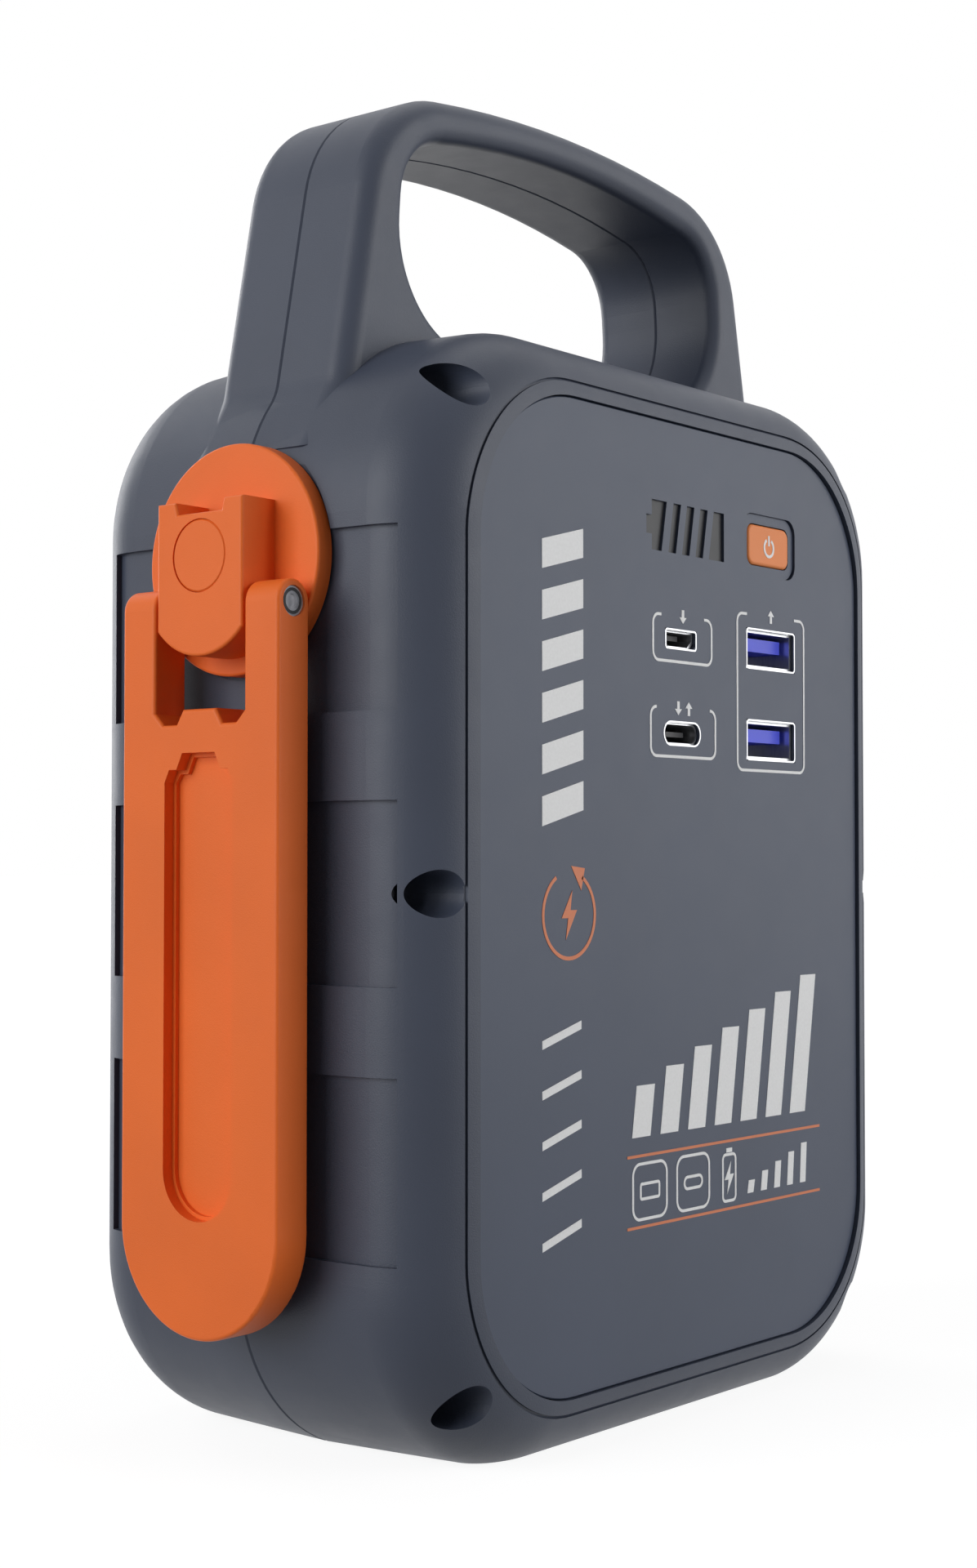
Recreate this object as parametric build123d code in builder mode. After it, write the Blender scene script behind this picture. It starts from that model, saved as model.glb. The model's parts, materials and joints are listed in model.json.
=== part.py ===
from build123d import *
import os
from math import acos, cos, pi, radians, sin, tan

os.makedirs("parts", exist_ok=True)

# A hand crank phone charger. X runs to the right along the front, Y to the back and Z up.
# The origin is the middle of the flat face that it stands on. The crank is on the left side.

# Clearances
running_gap = 0.3        # between faces that turn past each other
turning_clearance = 0.05  # radial, between an axle and what turns on it
fit_clearance = 0.02     # radial, between pieces that are fixed together
drop_in_clearance = 0.15  # around an insert in its recess

# Case: two drafted shells that meet at y = 0
case_half_width = 56.6
case_low = -1.9          # lowest point of the rounded outline, before the standing face is cut
case_high = 146.4
case_corner = 26.5
case_half_depth = 31.4
case_edge = 11.0
case_draft = 1.9
case_wall = 2.4
seam_chamfer = 0.25

# Handle, moulded half on each shell
handle_half_depth = 11.5
handle_crown_rise = 35.2
handle_shoulder_rise = 31.0
handle_shoulder_half_width = 42.2
handle_root_drop = 8.5
handle_root_inset = 6.6
handle_foot_drop = 17.2
handle_foot_inset = 1.7
handle_tail_drop = 26.4
handle_corner = 18.0
handle_blend = 7.0
handle_outer_edge = 3.0
handle_inner_edge = 2.2
handle_bar = 5.3
opening_sink = 0.2
opening_low_half_width = 38.7
opening_high_half_width = 36.7
opening_low_corner = 14.5
opening_high_corner = 10.0

# Panels let into the front and the back
panel_half_width = 46.5
panel_low = 7.5
panel_high = 137.1
panel_corner = 20.0
panel_thickness = 1.4
panel_setback = 0.6
panel_floor = 1.8
panel_chamfer = 0.15
groove_offset = 1.9
groove_width = 0.4
groove_depth = 0.35

# Three shallow grips on each side
grip_low = 27.25
grip_height = 22.9
grip_pitch = 33.9
grip_count = 3
grip_half_depth = 25.0
grip_depth = 0.8

# Six case screws, driven from the front into columns of the rear shell
corner_screw_inset = 10.7
top_screw_drop = 10.3
bottom_screw_rise = 11.3
side_screw_inset = 5.0
side_screw_rise = 0.35
screw_well_radius = 2.95
screw_well_depth = 13.4
screw_column_radius = 3.9
screw_head_radius = 2.6
screw_head_height = 1.9
screw_shank_radius = 1.45
screw_bite = 9.0
screw_drive_radius = 1.1
screw_drive_depth = 1.1
socket_drive_sides = 6

# Crank hub
hub_z = 115.0
hub_disc_radius = 14.9
hub_disc_thickness = 2.5
hub_pocket_depth = 1.2
hub_pocket_clearance = 0.4
hub_pad_radius = 17.0
hub_pad_thickness = 2.8
hub_block_half_width = 7.5
hub_block_rise = 7.0
hub_block_shoulder_drop = 9.3
hub_block_drop = 12.7
notch_half_width = 4.3
notch_floor_half_width = 3.85
notch_depth = 1.55
hub_edge = 0.4
cap_radius = 4.6
cap_thickness = 1.1
cap_clearance = 0.08
cap_edge = 0.2
hub_screw_head_radius = 2.8
hub_screw_head_height = 1.8
hub_screw_radius = 1.5
hub_screw_length = 7.0
hub_web = 0.8

# Hub shaft and its bearings
shaft_radius = 3.0
shaft_flat = 0.5
shaft_tail = 2.4
bush_radius = 5.0
bush_flange_radius = 6.5
bush_flange_thickness = 1.2
bush_sleeve_radius = 4.2
ring_groove_depth = 0.6
ring_thickness = 0.9
ring_width = 2.4
ring_mouth = 4.6

# Hinge between hub and arm
pin_drop = 6.4
pin_radius = 1.3
pin_head_radius = 1.9
pin_head_height = 0.8
pin_head_setback = 0.3
pin_dimple_radius = 0.9
pin_dimple_depth = 0.4

# Crank arm
arm_half_width = 13.75
arm_thickness = 5.6
arm_reach = 78.0
arm_edge = 0.5
fork_clearance = 0.4
fork_depth = 14.8
fork_corner = 1.5
tooth_height = 1.9
tooth_tip_half_width = 2.9
tooth_base_half_width = 4.05
finger_groove_half_width = 6.0
finger_groove_low = 7.0
finger_groove_top_drop = 18.4
finger_groove_top_half_width = 2.85
finger_groove_ledge_drop = 20.5
finger_groove_ledge_half_width = 3.9
finger_groove_shoulder_half_width = 5.2
finger_groove_shoulder_drop = 22.1
finger_groove_depth = 2.2
finger_groove_step = 0.5
finger_groove_step_depth = 0.6

# Finger cup that swivels in the end of the arm
cup_radius = 9.8
cup_seat_depth = 2.2
cup_seat_clearance = 0.3
cup_floor_gap = 0.2
cup_proud = 1.4
cup_dish_radius = 7.6
cup_dish_depth = 1.5
cup_edge = 0.5
rivet_radius = 1.3
rivet_head_radius = 2.4
rivet_head_height = 0.8
rivet_bite = 1.0

# Gear train: module and teeth of each pair, face widths along X
module_1 = 0.8
crank_gear_teeth = 40
pinion_1_teeth = 10
module_2 = 0.7
wheel_1_teeth = 45
pinion_2_teeth = 12
module_3 = 0.6
wheel_2_teeth = 40
motor_pinion_teeth = 10
pressure_angle = radians(20)
addendum = 0.95
dedendum = 1.2
backlash = 0.14
face_1 = 3.5
face_2 = 2.8
face_3 = 2.3
plate_gap = 0.6
gear_gap = 0.9
gear_hole_radius = 3.4
gear_hole_circle = 9.4
gear_hole_count = 6
axle_radius = 1.25
gear_boss_radius = 2.8

# Gearbox
gearbox_standoff = 5.8
gearbox_plate_thickness = 1.5
plate_head_radius = 8.0
plate_foot_radius = 13.4
plate_ear_radius = 3.4
upper_pillar_y = 22.2
lower_pillar_y = 17.0
lower_pillar_rise = 1.3
pillar_radius = 2.3
pillar_bore = 1.3
gearbox_post_radius = 3.2
gearbox_screw_radius = 1.25
gearbox_screw_head_radius = 2.2
gearbox_screw_head_height = 1.4
gearbox_screw_bite = 2.2

# Generator
generator_radius = 12.2
generator_wall = 1.2
generator_length = 25.0
generator_nose_radius = 3.1
generator_nose_length = 1.3
generator_shaft_radius = 1.0
magnet_thickness = 1.7
magnet_length = 14.0
magnet_half_angle = 58.0
magnet_start = 4.0
rotor_air_gap = 0.5
rotor_length = 12.0
rotor_start = 5.0
rotor_slot_width = 2.6
rotor_slot_depth = 4.6
rotor_slots = 3
commutator_radius = 2.6
commutator_length = 4.0
end_cap_thickness = 2.0
saddle_x = -21.0
saddle_thickness = 2.0
terminal_width = 2.6
terminal_length = 4.0
terminal_thickness = 0.5
terminal_spread = 8.0

# Four round cells and their holder
cell_radius = 9.2
cell_length = 65.0
cell_pitch = 20.4
cell_clearance = 0.1
cell_pole_radius = 3.2
cell_pole_height = 0.5
cells_x = 19.8
cells_y = 2.8
holder_floor_z = 4.6
holder_floor = 1.4
holder_socket = 3.0
holder_margin = 0.9
holder_web = 1.4
holder_collar_z = 62.0
holder_collar = 3.0
holder_keel_spread = 12.0
holder_keel_thickness = 2.0
tab_thickness = 0.3
tab_width = 7.0

# Main board, on four posts of the front shell
board_low = 84.0
board_high = 134.0
board_left = -18.0
board_right = 38.0
board_thickness = 1.6
board_depth = 13.8
board_corner = 2.0
board_post_inset = 3.5
board_post_radius = 3.0
board_screw_radius = 1.1
board_screw_head_radius = 2.0
board_screw_head_height = 1.3
board_screw_bite = 6.0

# Ports. Each stands on the board and ends just under the panel's face.
port_setback = 0.6
usb_a_x = 21.9
usb_a_upper_z = 107.2
usb_a_lower_z = 94.0
usb_a_width = 13.1
usb_a_height = 5.7
usb_a_shell = 0.5
usb_a_tongue_width = 10.6
usb_a_tongue_height = 1.9
usb_a_tongue_rise = 0.75
usb_a_tongue_setback = 1.2
usb_c_x = -1.3
usb_c_z = 94.1
usb_c_width = 8.94
usb_c_height = 3.2
usb_c_shell = 0.35
usb_c_tongue_width = 6.6
usb_c_tongue_height = 0.7
micro_x = -1.6
micro_z = 107.1
micro_width = 7.5
micro_height = 2.6
micro_bevel = 1.0
micro_shell = 0.35
micro_tongue_width = 4.4
micro_tongue_height = 0.7
micro_tongue_rise = 0.35
small_tongue_setback = 1.5
port_floor = 1.0

# Battery gauge: five bars with light guides, from left to right
gauge_z = 122.4
gauge_half_height = 3.45
gauge_lean = 1.3
gauge_bar_width = 1.85
gauge_bar_lefts = (-3.3, 0.05, 3.42)
gauge_first_left = -8.6
gauge_first_right = -4.95
gauge_nub_left = -9.9
gauge_nub_half_height = 1.3
gauge_last_left = 6.81
gauge_last_right = 9.45
gauge_margin = 0.6
gauge_flange = 1.2
gauge_flange_thickness = 1.0
guide_width = 1.6
guide_height = 2.4
guide_gap = 0.3
charge_led_height = 0.8

# Power button
button_x = 21.7
button_z = 122.4
button_width = 11.1
button_height = 5.9
button_corner = 1.4
button_clearance = 0.2
button_rim = 1.5
bezel_corner = 2.2
button_setback = 0.15
button_edge = 0.5
button_travel = 0.6
button_flange = 1.0
button_stem_radius = 2.0
plunger_radius = 1.7
plunger_length = 2.4
switch_size = 6.2
switch_height = 3.6
switch_well = 2.0
switch_chamfer = 0.6

# Small parts on the board
chip_width = 7.0
chip_height = 1.2
coil_width = 8.0
coil_height = 4.0
coil_corner = 1.5
chip_inset = 8.0

# Lamp in the back
lamp_z = 127.0
lamp_half_length = 20.0
lamp_height = 8.0
lamp_clearance = 0.15
lamp_flange = 1.4
lamp_flange_thickness = 1.0
reflector_depth = 6.0
reflector_taper = 12.0
lamp_board_half_length = 30.0
lamp_board_height = 12.0
lamp_board_thickness = 1.2
lamp_post_x = 26.6
lamp_post_radius = 2.5
lamp_screw_bite = 5.0
lamp_led_size = 3.0
lamp_led_height = 0.8
lamp_led_pitch = 12.0
lamp_led_count = 3

# Solar panel in the back
solar_half_width = 40.0
solar_low = 13.5
solar_high = 117.0
solar_corner = 14.0
solar_thickness = 1.1

# Places worked out from the sizes above
case_middle = (case_low + case_high) / 2
panel_face = case_half_depth - panel_setback
panel_back = panel_face - panel_thickness
cavity_half_depth = panel_back - panel_floor
screw_seat = case_half_depth - screw_well_depth
screw_head_round = screw_head_height / 3
screw_drive_width = screw_drive_radius / 2
screw_places = [
    (side * (case_half_width - inset), z)
    for side in (-1, 1)
    for inset, z in (
        (corner_screw_inset, case_high - top_screw_drop),
        (side_screw_inset, case_middle + side_screw_rise),
        (corner_screw_inset, case_low + bottom_screw_rise),
    )
]
handle_crown = case_high + handle_crown_rise
opening_shoulder = case_high + handle_shoulder_rise - handle_bar

pocket_x = -(case_half_width - hub_pocket_depth)
pad_x = pocket_x + hub_pad_thickness
hub_back_x = pocket_x - running_gap
disc_face_x = hub_back_x - hub_disc_thickness
arm_inner_x = disc_face_x - running_gap
arm_outer_x = arm_inner_x - arm_thickness
pin_x = (arm_inner_x + arm_outer_x) / 2
pin_z = hub_z - pin_drop
arm_end_z = pin_z - arm_reach
hub_screw_seat_x = arm_outer_x + cap_thickness + hub_screw_head_height
shaft_outer_x = hub_screw_seat_x + hub_web

plate_out_x = pad_x + gearbox_standoff
plate_in_x = plate_out_x + gearbox_plate_thickness
layer_1_x = plate_in_x + plate_gap
layer_2_x = layer_1_x + face_1 + gear_gap
layer_3_x = layer_2_x + face_2 + gear_gap
inner_plate_x = layer_3_x + face_3 + gear_gap
generator_x = inner_plate_x + gearbox_plate_thickness
ring_x = generator_x + running_gap / 2
end_cap_socket_depth = end_cap_thickness * 3 / 4
shaft_inner_x = ring_x + ring_thickness + shaft_tail

gear_1_z = hub_z - module_1 * (crank_gear_teeth + pinion_1_teeth) / 2
gear_2_z = gear_1_z - module_2 * (wheel_1_teeth + pinion_2_teeth) / 2
generator_z = gear_2_z - module_3 * (wheel_2_teeth + motor_pinion_teeth) / 2
lower_pillar_z = generator_z + lower_pillar_rise
pillar_places = [
    (side * y, z)
    for side in (-1, 1)
    for y, z in ((upper_pillar_y, gear_1_z), (lower_pillar_y, lower_pillar_z))
]

board_front = -(panel_back - board_depth)
board_back = board_front + board_thickness
board_posts = [
    (x, z)
    for x in (board_left + board_post_inset, board_right - board_post_inset)
    for z in (board_low + board_post_inset, board_high - board_post_inset)
]
port_front = -(panel_face - port_setback)
port_length = board_front - port_front
usb_a_places = {"upper": usb_a_upper_z, "lower": usb_a_lower_z}
gauge_bar_middles = [
    (gauge_first_left + gauge_first_right - gauge_lean) / 2,
    *[left + (gauge_bar_width - gauge_lean) / 2 for left in gauge_bar_lefts],
    (gauge_last_left + gauge_last_right - gauge_lean) / 2,
]
button_back = -(cavity_half_depth - button_clearance)
switch_front = board_front - switch_height
plunger_front = switch_front - 2 * button_travel
cell_places = [
    (cells_x + side_x * cell_pitch / 2, cells_y + side_y * cell_pitch / 2)
    for side_x in (-1, 1)
    for side_y in (-1, 1)
]
cell_z = holder_floor_z + holder_floor
lamp_board_y = cavity_half_depth - lamp_flange_thickness - reflector_depth
lamp_posts = [(side * lamp_post_x, lamp_z) for side in (-1, 1)]
generator_end_x = generator_x + generator_length
magnet_outer_radius = generator_radius - generator_wall - fit_clearance
magnet_inner_radius = magnet_outer_radius - magnet_thickness
cup_floor_x = arm_inner_x - cup_seat_depth + cup_floor_gap
cup_face_x = arm_inner_x + cup_proud
dish_sphere_radius = (cup_dish_radius**2 + cup_dish_depth**2) / (2 * cup_dish_depth)
rivet_head_x = cup_face_x - cup_dish_depth - rivet_head_height


def front_plane(y):
    """Upright plane at y that faces the front: its own x is X and its own y is Z."""
    return Plane.XZ.offset(-y)


def back_plane(y):
    """Upright plane at y that faces the back: its own x is -X and its own y is Z."""
    return Plane(origin=(0, y, 0), x_dir=(-1, 0, 0), z_dir=(0, 1, 0))


def side_plane(x):
    """Upright plane at x that faces the right: its own x is Y and its own y is Z."""
    return Plane.YZ.offset(x)


def pillow_half(inset, depth, edge):
    """Front half of the case's drafted, round-cornered block, inset all round."""
    with BuildPart() as block:
        with BuildSketch(front_plane(0)):
            with Locations((0, case_middle)):
                RectangleRounded(
                    2 * (case_half_width - inset),
                    case_high - case_low - 2 * inset,
                    case_corner - inset,
                )
        extrude(amount=depth, taper=case_draft)
        fillet(block.faces().sort_by(Axis.Y)[0].edges(), edge)
    return block.part


def panel_outline(plane, grow):
    """The panels' rounded outline, grown all round."""
    with BuildSketch(plane) as outline:
        with Locations((0, (panel_low + panel_high) / 2)):
            RectangleRounded(
                2 * (panel_half_width + grow),
                panel_high - panel_low + 2 * grow,
                panel_corner + grow,
            )
    return outline.sketch


def solar_outline(plane, grow):
    """The solar panel's rounded outline, grown all round."""
    with BuildSketch(plane) as outline:
        with Locations((0, (solar_low + solar_high) / 2)):
            RectangleRounded(
                2 * (solar_half_width + grow),
                solar_high - solar_low + 2 * grow,
                solar_corner + grow,
            )
    return outline.sketch


def discs(plane, places, radius):
    """Circles of one radius at several places on a plane."""
    with BuildSketch(plane) as outline:
        with Locations(*places):
            Circle(radius)
    return outline.sketch


def rounded_bar(plane, x, z, width, height, corner):
    """Rounded rectangle about one place on an upright plane."""
    with BuildSketch(plane) as outline:
        with Locations((x, z)):
            RectangleRounded(width, height, corner)
    return outline.sketch


def pill(plane, x, z, length, height):
    """Slot shape, lying along the plane's x."""
    with BuildSketch(plane) as outline:
        with Locations((x, z)):
            SlotOverall(length, height)
    return outline.sketch


def micro_outline(plane, grow):
    """Socket outline with its two lower corners cut off, grown all round."""
    half_width = micro_width / 2 + grow
    half_height = micro_height / 2 + grow
    with BuildSketch(plane) as outline:
        with Locations((micro_x, micro_z)):
            Polygon(
                (-half_width, half_height),
                (-half_width, -half_height + micro_bevel),
                (-half_width + micro_bevel, -half_height),
                (half_width - micro_bevel, -half_height),
                (half_width, -half_height + micro_bevel),
                (half_width, half_height),
                align=None,
            )
    return outline.sketch


def gauge_outline(plane):
    """Five leaning bars in the shape of a battery, with its nub on the left."""
    low = gauge_z - gauge_half_height
    high = gauge_z + gauge_half_height
    with BuildSketch(plane) as outline:
        Polygon(
            (gauge_first_left, high),
            (gauge_first_left, gauge_z + gauge_nub_half_height),
            (gauge_nub_left, gauge_z + gauge_nub_half_height),
            (gauge_nub_left, gauge_z - gauge_nub_half_height),
            (gauge_first_left, gauge_z - gauge_nub_half_height),
            (gauge_first_left, low),
            (gauge_first_right - gauge_lean, low),
            (gauge_first_right, high),
            align=None,
        )
        for left in gauge_bar_lefts:
            Polygon(
                (left, high),
                (left - gauge_lean, low),
                (left - gauge_lean + gauge_bar_width, low),
                (left + gauge_bar_width, high),
                align=None,
            )
        Polygon(
            (gauge_last_left, high),
            (gauge_last_left - gauge_lean, low),
            (gauge_last_right, low),
            (gauge_last_right, high),
            align=None,
        )
    return outline.sketch


def gauge_block(plane, grow):
    """Rectangle round the five bars."""
    width = gauge_last_right - gauge_nub_left
    with BuildSketch(plane) as outline:
        with Locations(((gauge_last_right + gauge_nub_left) / 2, gauge_z)):
            Rectangle(width + 2 * grow, 2 * (gauge_half_height + grow))
    return outline.sketch


def hub_block_outline(plane):
    """Side view of the hub's block: a notch at the top and a round lower end."""
    high = hub_z + hub_block_rise
    shoulder = hub_z - hub_block_shoulder_drop
    with BuildSketch(plane) as outline:
        with BuildLine():
            Polyline(
                (hub_block_half_width, shoulder),
                (hub_block_half_width, high),
                (notch_half_width, high),
                (notch_floor_half_width, high - notch_depth),
                (-notch_floor_half_width, high - notch_depth),
                (-notch_half_width, high),
                (-hub_block_half_width, high),
                (-hub_block_half_width, shoulder),
            )
            ThreePointArc(
                (-hub_block_half_width, shoulder),
                (0, hub_z - hub_block_drop),
                (hub_block_half_width, shoulder),
            )
        make_face()
    return outline.sketch


def finger_groove_outline(plane, shrink):
    """Long groove in the arm, round at its end and stepped to a narrow top at the fork."""
    low = arm_end_z + finger_groove_low
    steps = [
        (finger_groove_half_width - shrink, low),
        (finger_groove_half_width - shrink, pin_z - finger_groove_shoulder_drop),
        (finger_groove_shoulder_half_width - shrink, pin_z - finger_groove_ledge_drop - shrink),
        (finger_groove_ledge_half_width - shrink, pin_z - finger_groove_ledge_drop - shrink),
        (finger_groove_top_half_width - shrink, pin_z - finger_groove_top_drop - shrink),
    ]
    mirrored = [(-y, z) for y, z in reversed(steps)]
    with BuildSketch(plane) as outline:
        with BuildLine():
            Polyline(*steps, *mirrored)
            ThreePointArc(
                mirrored[-1],
                (0, low - finger_groove_half_width + shrink),
                steps[0],
            )
        make_face()
    return outline.sketch


def shaft_section(plane, grow):
    """Round section with a flat on top, which keeps the hub and the gear from slipping."""
    radius = shaft_radius + grow
    with BuildSketch(plane) as outline:
        with Locations((0, hub_z)):
            Circle(radius)
        with Locations((0, hub_z + shaft_radius - shaft_flat + grow)):
            Rectangle(2 * radius, 2 * radius, align=(Align.CENTER, Align.MIN), mode=Mode.SUBTRACT)
    return outline.sketch


def gear_points(teeth, module, first_tooth):
    """Corners of an involute gear's teeth about the origin, the first tooth at an angle."""
    pitch = module * teeth / 2
    base = pitch * cos(pressure_angle)
    root = pitch - dedendum * module
    tip = pitch + addendum * module
    involute_at_pitch = tan(pressure_angle) - pressure_angle
    half_tooth = (pi * module / 2 - backlash) / (2 * pitch)

    def half_angle(radius):
        slope = acos(min(1.0, base / radius))
        return half_tooth + involute_at_pitch - (tan(slope) - slope)

    radii = [root, base, pitch, tip] if base > root else [root, pitch, tip]
    points = []
    for tooth in range(teeth):
        middle = first_tooth + 2 * pi * tooth / teeth
        flank = [(radius, half_angle(radius)) for radius in radii]
        for radius, spread in flank:
            points.append((radius * cos(middle - spread), radius * sin(middle - spread)))
        for radius, spread in reversed(flank):
            points.append((radius * cos(middle + spread), radius * sin(middle + spread)))
    return points


def gear_outline(x, z, teeth, module, first_tooth):
    """Toothed outline about an axle at height z, on the side plane at x."""
    with BuildSketch(side_plane(x)) as outline:
        with Locations((0, z)):
            Polygon(*gear_points(teeth, module, first_tooth), align=None)
    return outline.sketch


def driving_tooth():
    """A driving gear has a tooth straight below its axle."""
    return radians(-90)


def driven_tooth(teeth):
    """A driven gear has a gap straight above its axle."""
    return radians(90) + pi / teeth


def usb_a_outline(plane, z, grow):
    """Outline of one wide socket, grown all round."""
    with BuildSketch(plane) as outline:
        with Locations((usb_a_x, z)):
            Rectangle(usb_a_width + 2 * grow, usb_a_height + 2 * grow)
    return outline.sketch


def usb_c_outline(plane, grow):
    """Outline of the small oval socket, grown all round."""
    return pill(plane, usb_c_x, usb_c_z, usb_c_width + 2 * grow, usb_c_height + 2 * grow)


def port_outlines(plane, grow):
    """Outlines of all four sockets, grown all round."""
    return [
        *[usb_a_outline(plane, z, grow) for z in usb_a_places.values()],
        usb_c_outline(plane, grow),
        micro_outline(plane, grow),
    ]


def button_outline(plane, grow):
    """Outline of the power button's cap, grown all round."""
    return rounded_bar(
        plane,
        button_x,
        button_z,
        button_width + 2 * grow,
        button_height + 2 * grow,
        button_corner + grow,
    )


def lamp_outline(plane, grow):
    """Outline of the lamp in the back, grown all round."""
    return pill(plane, 0, lamp_z, 2 * (lamp_half_length + grow), lamp_height + 2 * grow)


def fork_outline(plane):
    """Gap of the arm's fork, with cut corners and a locking tooth on its floor."""
    floor = pin_z - fork_depth
    half_width = hub_block_half_width + fork_clearance
    top = pin_z + arm_thickness
    with BuildSketch(plane) as outline:
        Polygon(
            (-half_width, top),
            (-half_width, floor + fork_corner),
            (-half_width + fork_corner, floor),
            (-tooth_base_half_width, floor),
            (-tooth_tip_half_width, floor + tooth_height),
            (tooth_tip_half_width, floor + tooth_height),
            (tooth_base_half_width, floor),
            (half_width - fork_corner, floor),
            (half_width, floor + fork_corner),
            (half_width, top),
            align=None,
        )
    return outline.sketch


def gearbox_plate_outline(plane):
    """Plate round the shaft, the pillars and the generator's nose."""
    with BuildSketch(plane) as outline:
        with Locations((0, hub_z)):
            Circle(plate_head_radius)
        with Locations((0, generator_z)):
            Circle(plate_foot_radius)
        with Locations(*pillar_places):
            Circle(plate_ear_radius)
        make_hull()
    return outline.sketch


# ------------------------------------------------------------------ case shells

with BuildPart() as handle_half:
    with BuildSketch(front_plane(0)) as handle_outline:
        with BuildLine():
            ThreePointArc(
                (-handle_shoulder_half_width, case_high + handle_shoulder_rise),
                (0, handle_crown),
                (handle_shoulder_half_width, case_high + handle_shoulder_rise),
            )
            Polyline(
                (handle_shoulder_half_width, case_high + handle_shoulder_rise),
                (case_half_width - handle_root_inset, case_high - handle_root_drop),
                (case_half_width - handle_foot_inset, case_high - handle_foot_drop),
                (handle_shoulder_half_width, case_high - handle_tail_drop),
                (-handle_shoulder_half_width, case_high - handle_tail_drop),
                (handle_foot_inset - case_half_width, case_high - handle_foot_drop),
                (handle_root_inset - case_half_width, case_high - handle_root_drop),
                (-handle_shoulder_half_width, case_high + handle_shoulder_rise),
            )
        make_face()
        fillet(handle_outline.vertices().group_by(Axis.Y)[-1], handle_corner)
        fillet(handle_outline.vertices().group_by(Axis.Y)[2], handle_blend)
    extrude(amount=handle_half_depth)
    with BuildSketch(front_plane(0)) as handle_opening:
        with BuildLine():
            ThreePointArc(
                (-opening_high_half_width, opening_shoulder),
                (0, handle_crown - handle_bar),
                (opening_high_half_width, opening_shoulder),
            )
            Polyline(
                (opening_high_half_width, opening_shoulder),
                (opening_low_half_width, case_high - opening_sink),
                (-opening_low_half_width, case_high - opening_sink),
                (-opening_high_half_width, opening_shoulder),
            )
        make_face()
        fillet(handle_opening.vertices().group_by(Axis.Y)[0], opening_low_corner)
        fillet(handle_opening.vertices().group_by(Axis.Y)[-1], opening_high_corner)
    extrude(amount=handle_half_depth, mode=Mode.SUBTRACT)
    fillet(handle_half.faces().sort_by(Axis.Y)[0].outer_wire().edges(), handle_outer_edge)
    fillet(handle_half.faces().sort_by(Axis.Y)[0].inner_wires()[0].edges(), handle_inner_edge)
    chamfer(handle_half.faces().sort_by(Axis.Y)[-1].edges(), seam_chamfer)

# The panel's fine groove, which follows the curve of the case
with BuildPart() as groove_cutter:
    with BuildSketch(front_plane(-case_half_depth)) as groove_ring:
        with Locations((0, (panel_low + panel_high) / 2)):
            for grow, mode in (
                (groove_offset + groove_width, Mode.ADD),
                (groove_offset, Mode.SUBTRACT),
            ):
                RectangleRounded(
                    2 * (panel_half_width + grow),
                    panel_high - panel_low + 2 * grow,
                    panel_corner + grow,
                    mode=mode,
                )
    extrude(amount=-case_edge)
    add(
        pillow_half(groove_depth, case_half_depth - groove_depth, case_edge - groove_depth),
        mode=Mode.SUBTRACT,
    )

# The grips keep the same shallow depth as they wrap round the case's edge
with BuildPart() as grip_cutter:
    for side in (-1, 1):
        with BuildSketch(Plane.YZ.offset(side * case_half_width)):
            with Locations((0, grip_low + grip_height / 2 + grip_pitch)):
                with GridLocations(0, grip_pitch, 1, grip_count):
                    Rectangle(2 * grip_half_depth, grip_height)
        extrude(amount=-side * case_edge)
    add(
        pillow_half(grip_depth, case_half_depth - grip_depth, case_edge - grip_depth),
        mode=Mode.SUBTRACT,
    )

with BuildPart() as case_half:
    add(pillow_half(0, case_half_depth, case_edge))
    chamfer(case_half.faces().sort_by(Axis.Y)[-1].edges(), seam_chamfer)
    add(handle_half.part)
    with BuildSketch(Plane.XY):
        Rectangle(2 * case_half_width, 2 * case_half_depth)
    extrude(amount=2 * case_low, mode=Mode.SUBTRACT)
    add(grip_cutter.part, mode=Mode.SUBTRACT)
    add(groove_cutter.part, mode=Mode.SUBTRACT)
    extrude(panel_outline(front_plane(-panel_back), 0), amount=case_edge, mode=Mode.SUBTRACT)
    with BuildSketch(side_plane(pocket_x)):
        with Locations((0, hub_z)):
            Circle(hub_disc_radius + hub_pocket_clearance)
    extrude(amount=-case_edge, mode=Mode.SUBTRACT)

# The hollow of half a case, with the columns, posts and ribs left standing in it
with BuildPart() as hollow_half:
    add(pillow_half(case_wall, cavity_half_depth, case_edge - case_wall))
    extrude(
        discs(front_plane(0), screw_places, screw_column_radius),
        amount=case_half_depth,
        mode=Mode.SUBTRACT,
    )
    extrude(
        discs(side_plane(pad_x), [(0, hub_z)], hub_pad_radius),
        amount=-case_edge,
        mode=Mode.SUBTRACT,
    )
    extrude(
        discs(side_plane(plate_out_x), pillar_places, gearbox_post_radius),
        amount=-case_edge,
        mode=Mode.SUBTRACT,
    )
    with BuildSketch(Plane.XY.offset(holder_floor_z)):
        with Locations((cells_x, 0)):
            with GridLocations(2 * holder_keel_spread, 0, 2, 1):
                Rectangle(holder_keel_thickness, 2 * case_half_depth)
    extrude(amount=-case_edge, mode=Mode.SUBTRACT)
    with BuildSketch(side_plane(saddle_x)):
        with Locations((0, generator_z)):
            Rectangle(
                2 * case_half_depth,
                generator_z,
                align=(Align.CENTER, Align.MAX),
            )
            Circle(generator_radius + turning_clearance, mode=Mode.SUBTRACT)
    extrude(amount=saddle_thickness / 2, both=True, mode=Mode.SUBTRACT)


with BuildPart() as front_hollow:
    add(hollow_half.part)
    extrude(
        discs(front_plane(board_front), board_posts, board_post_radius),
        amount=case_half_depth,
        mode=Mode.SUBTRACT,
    )

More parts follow.
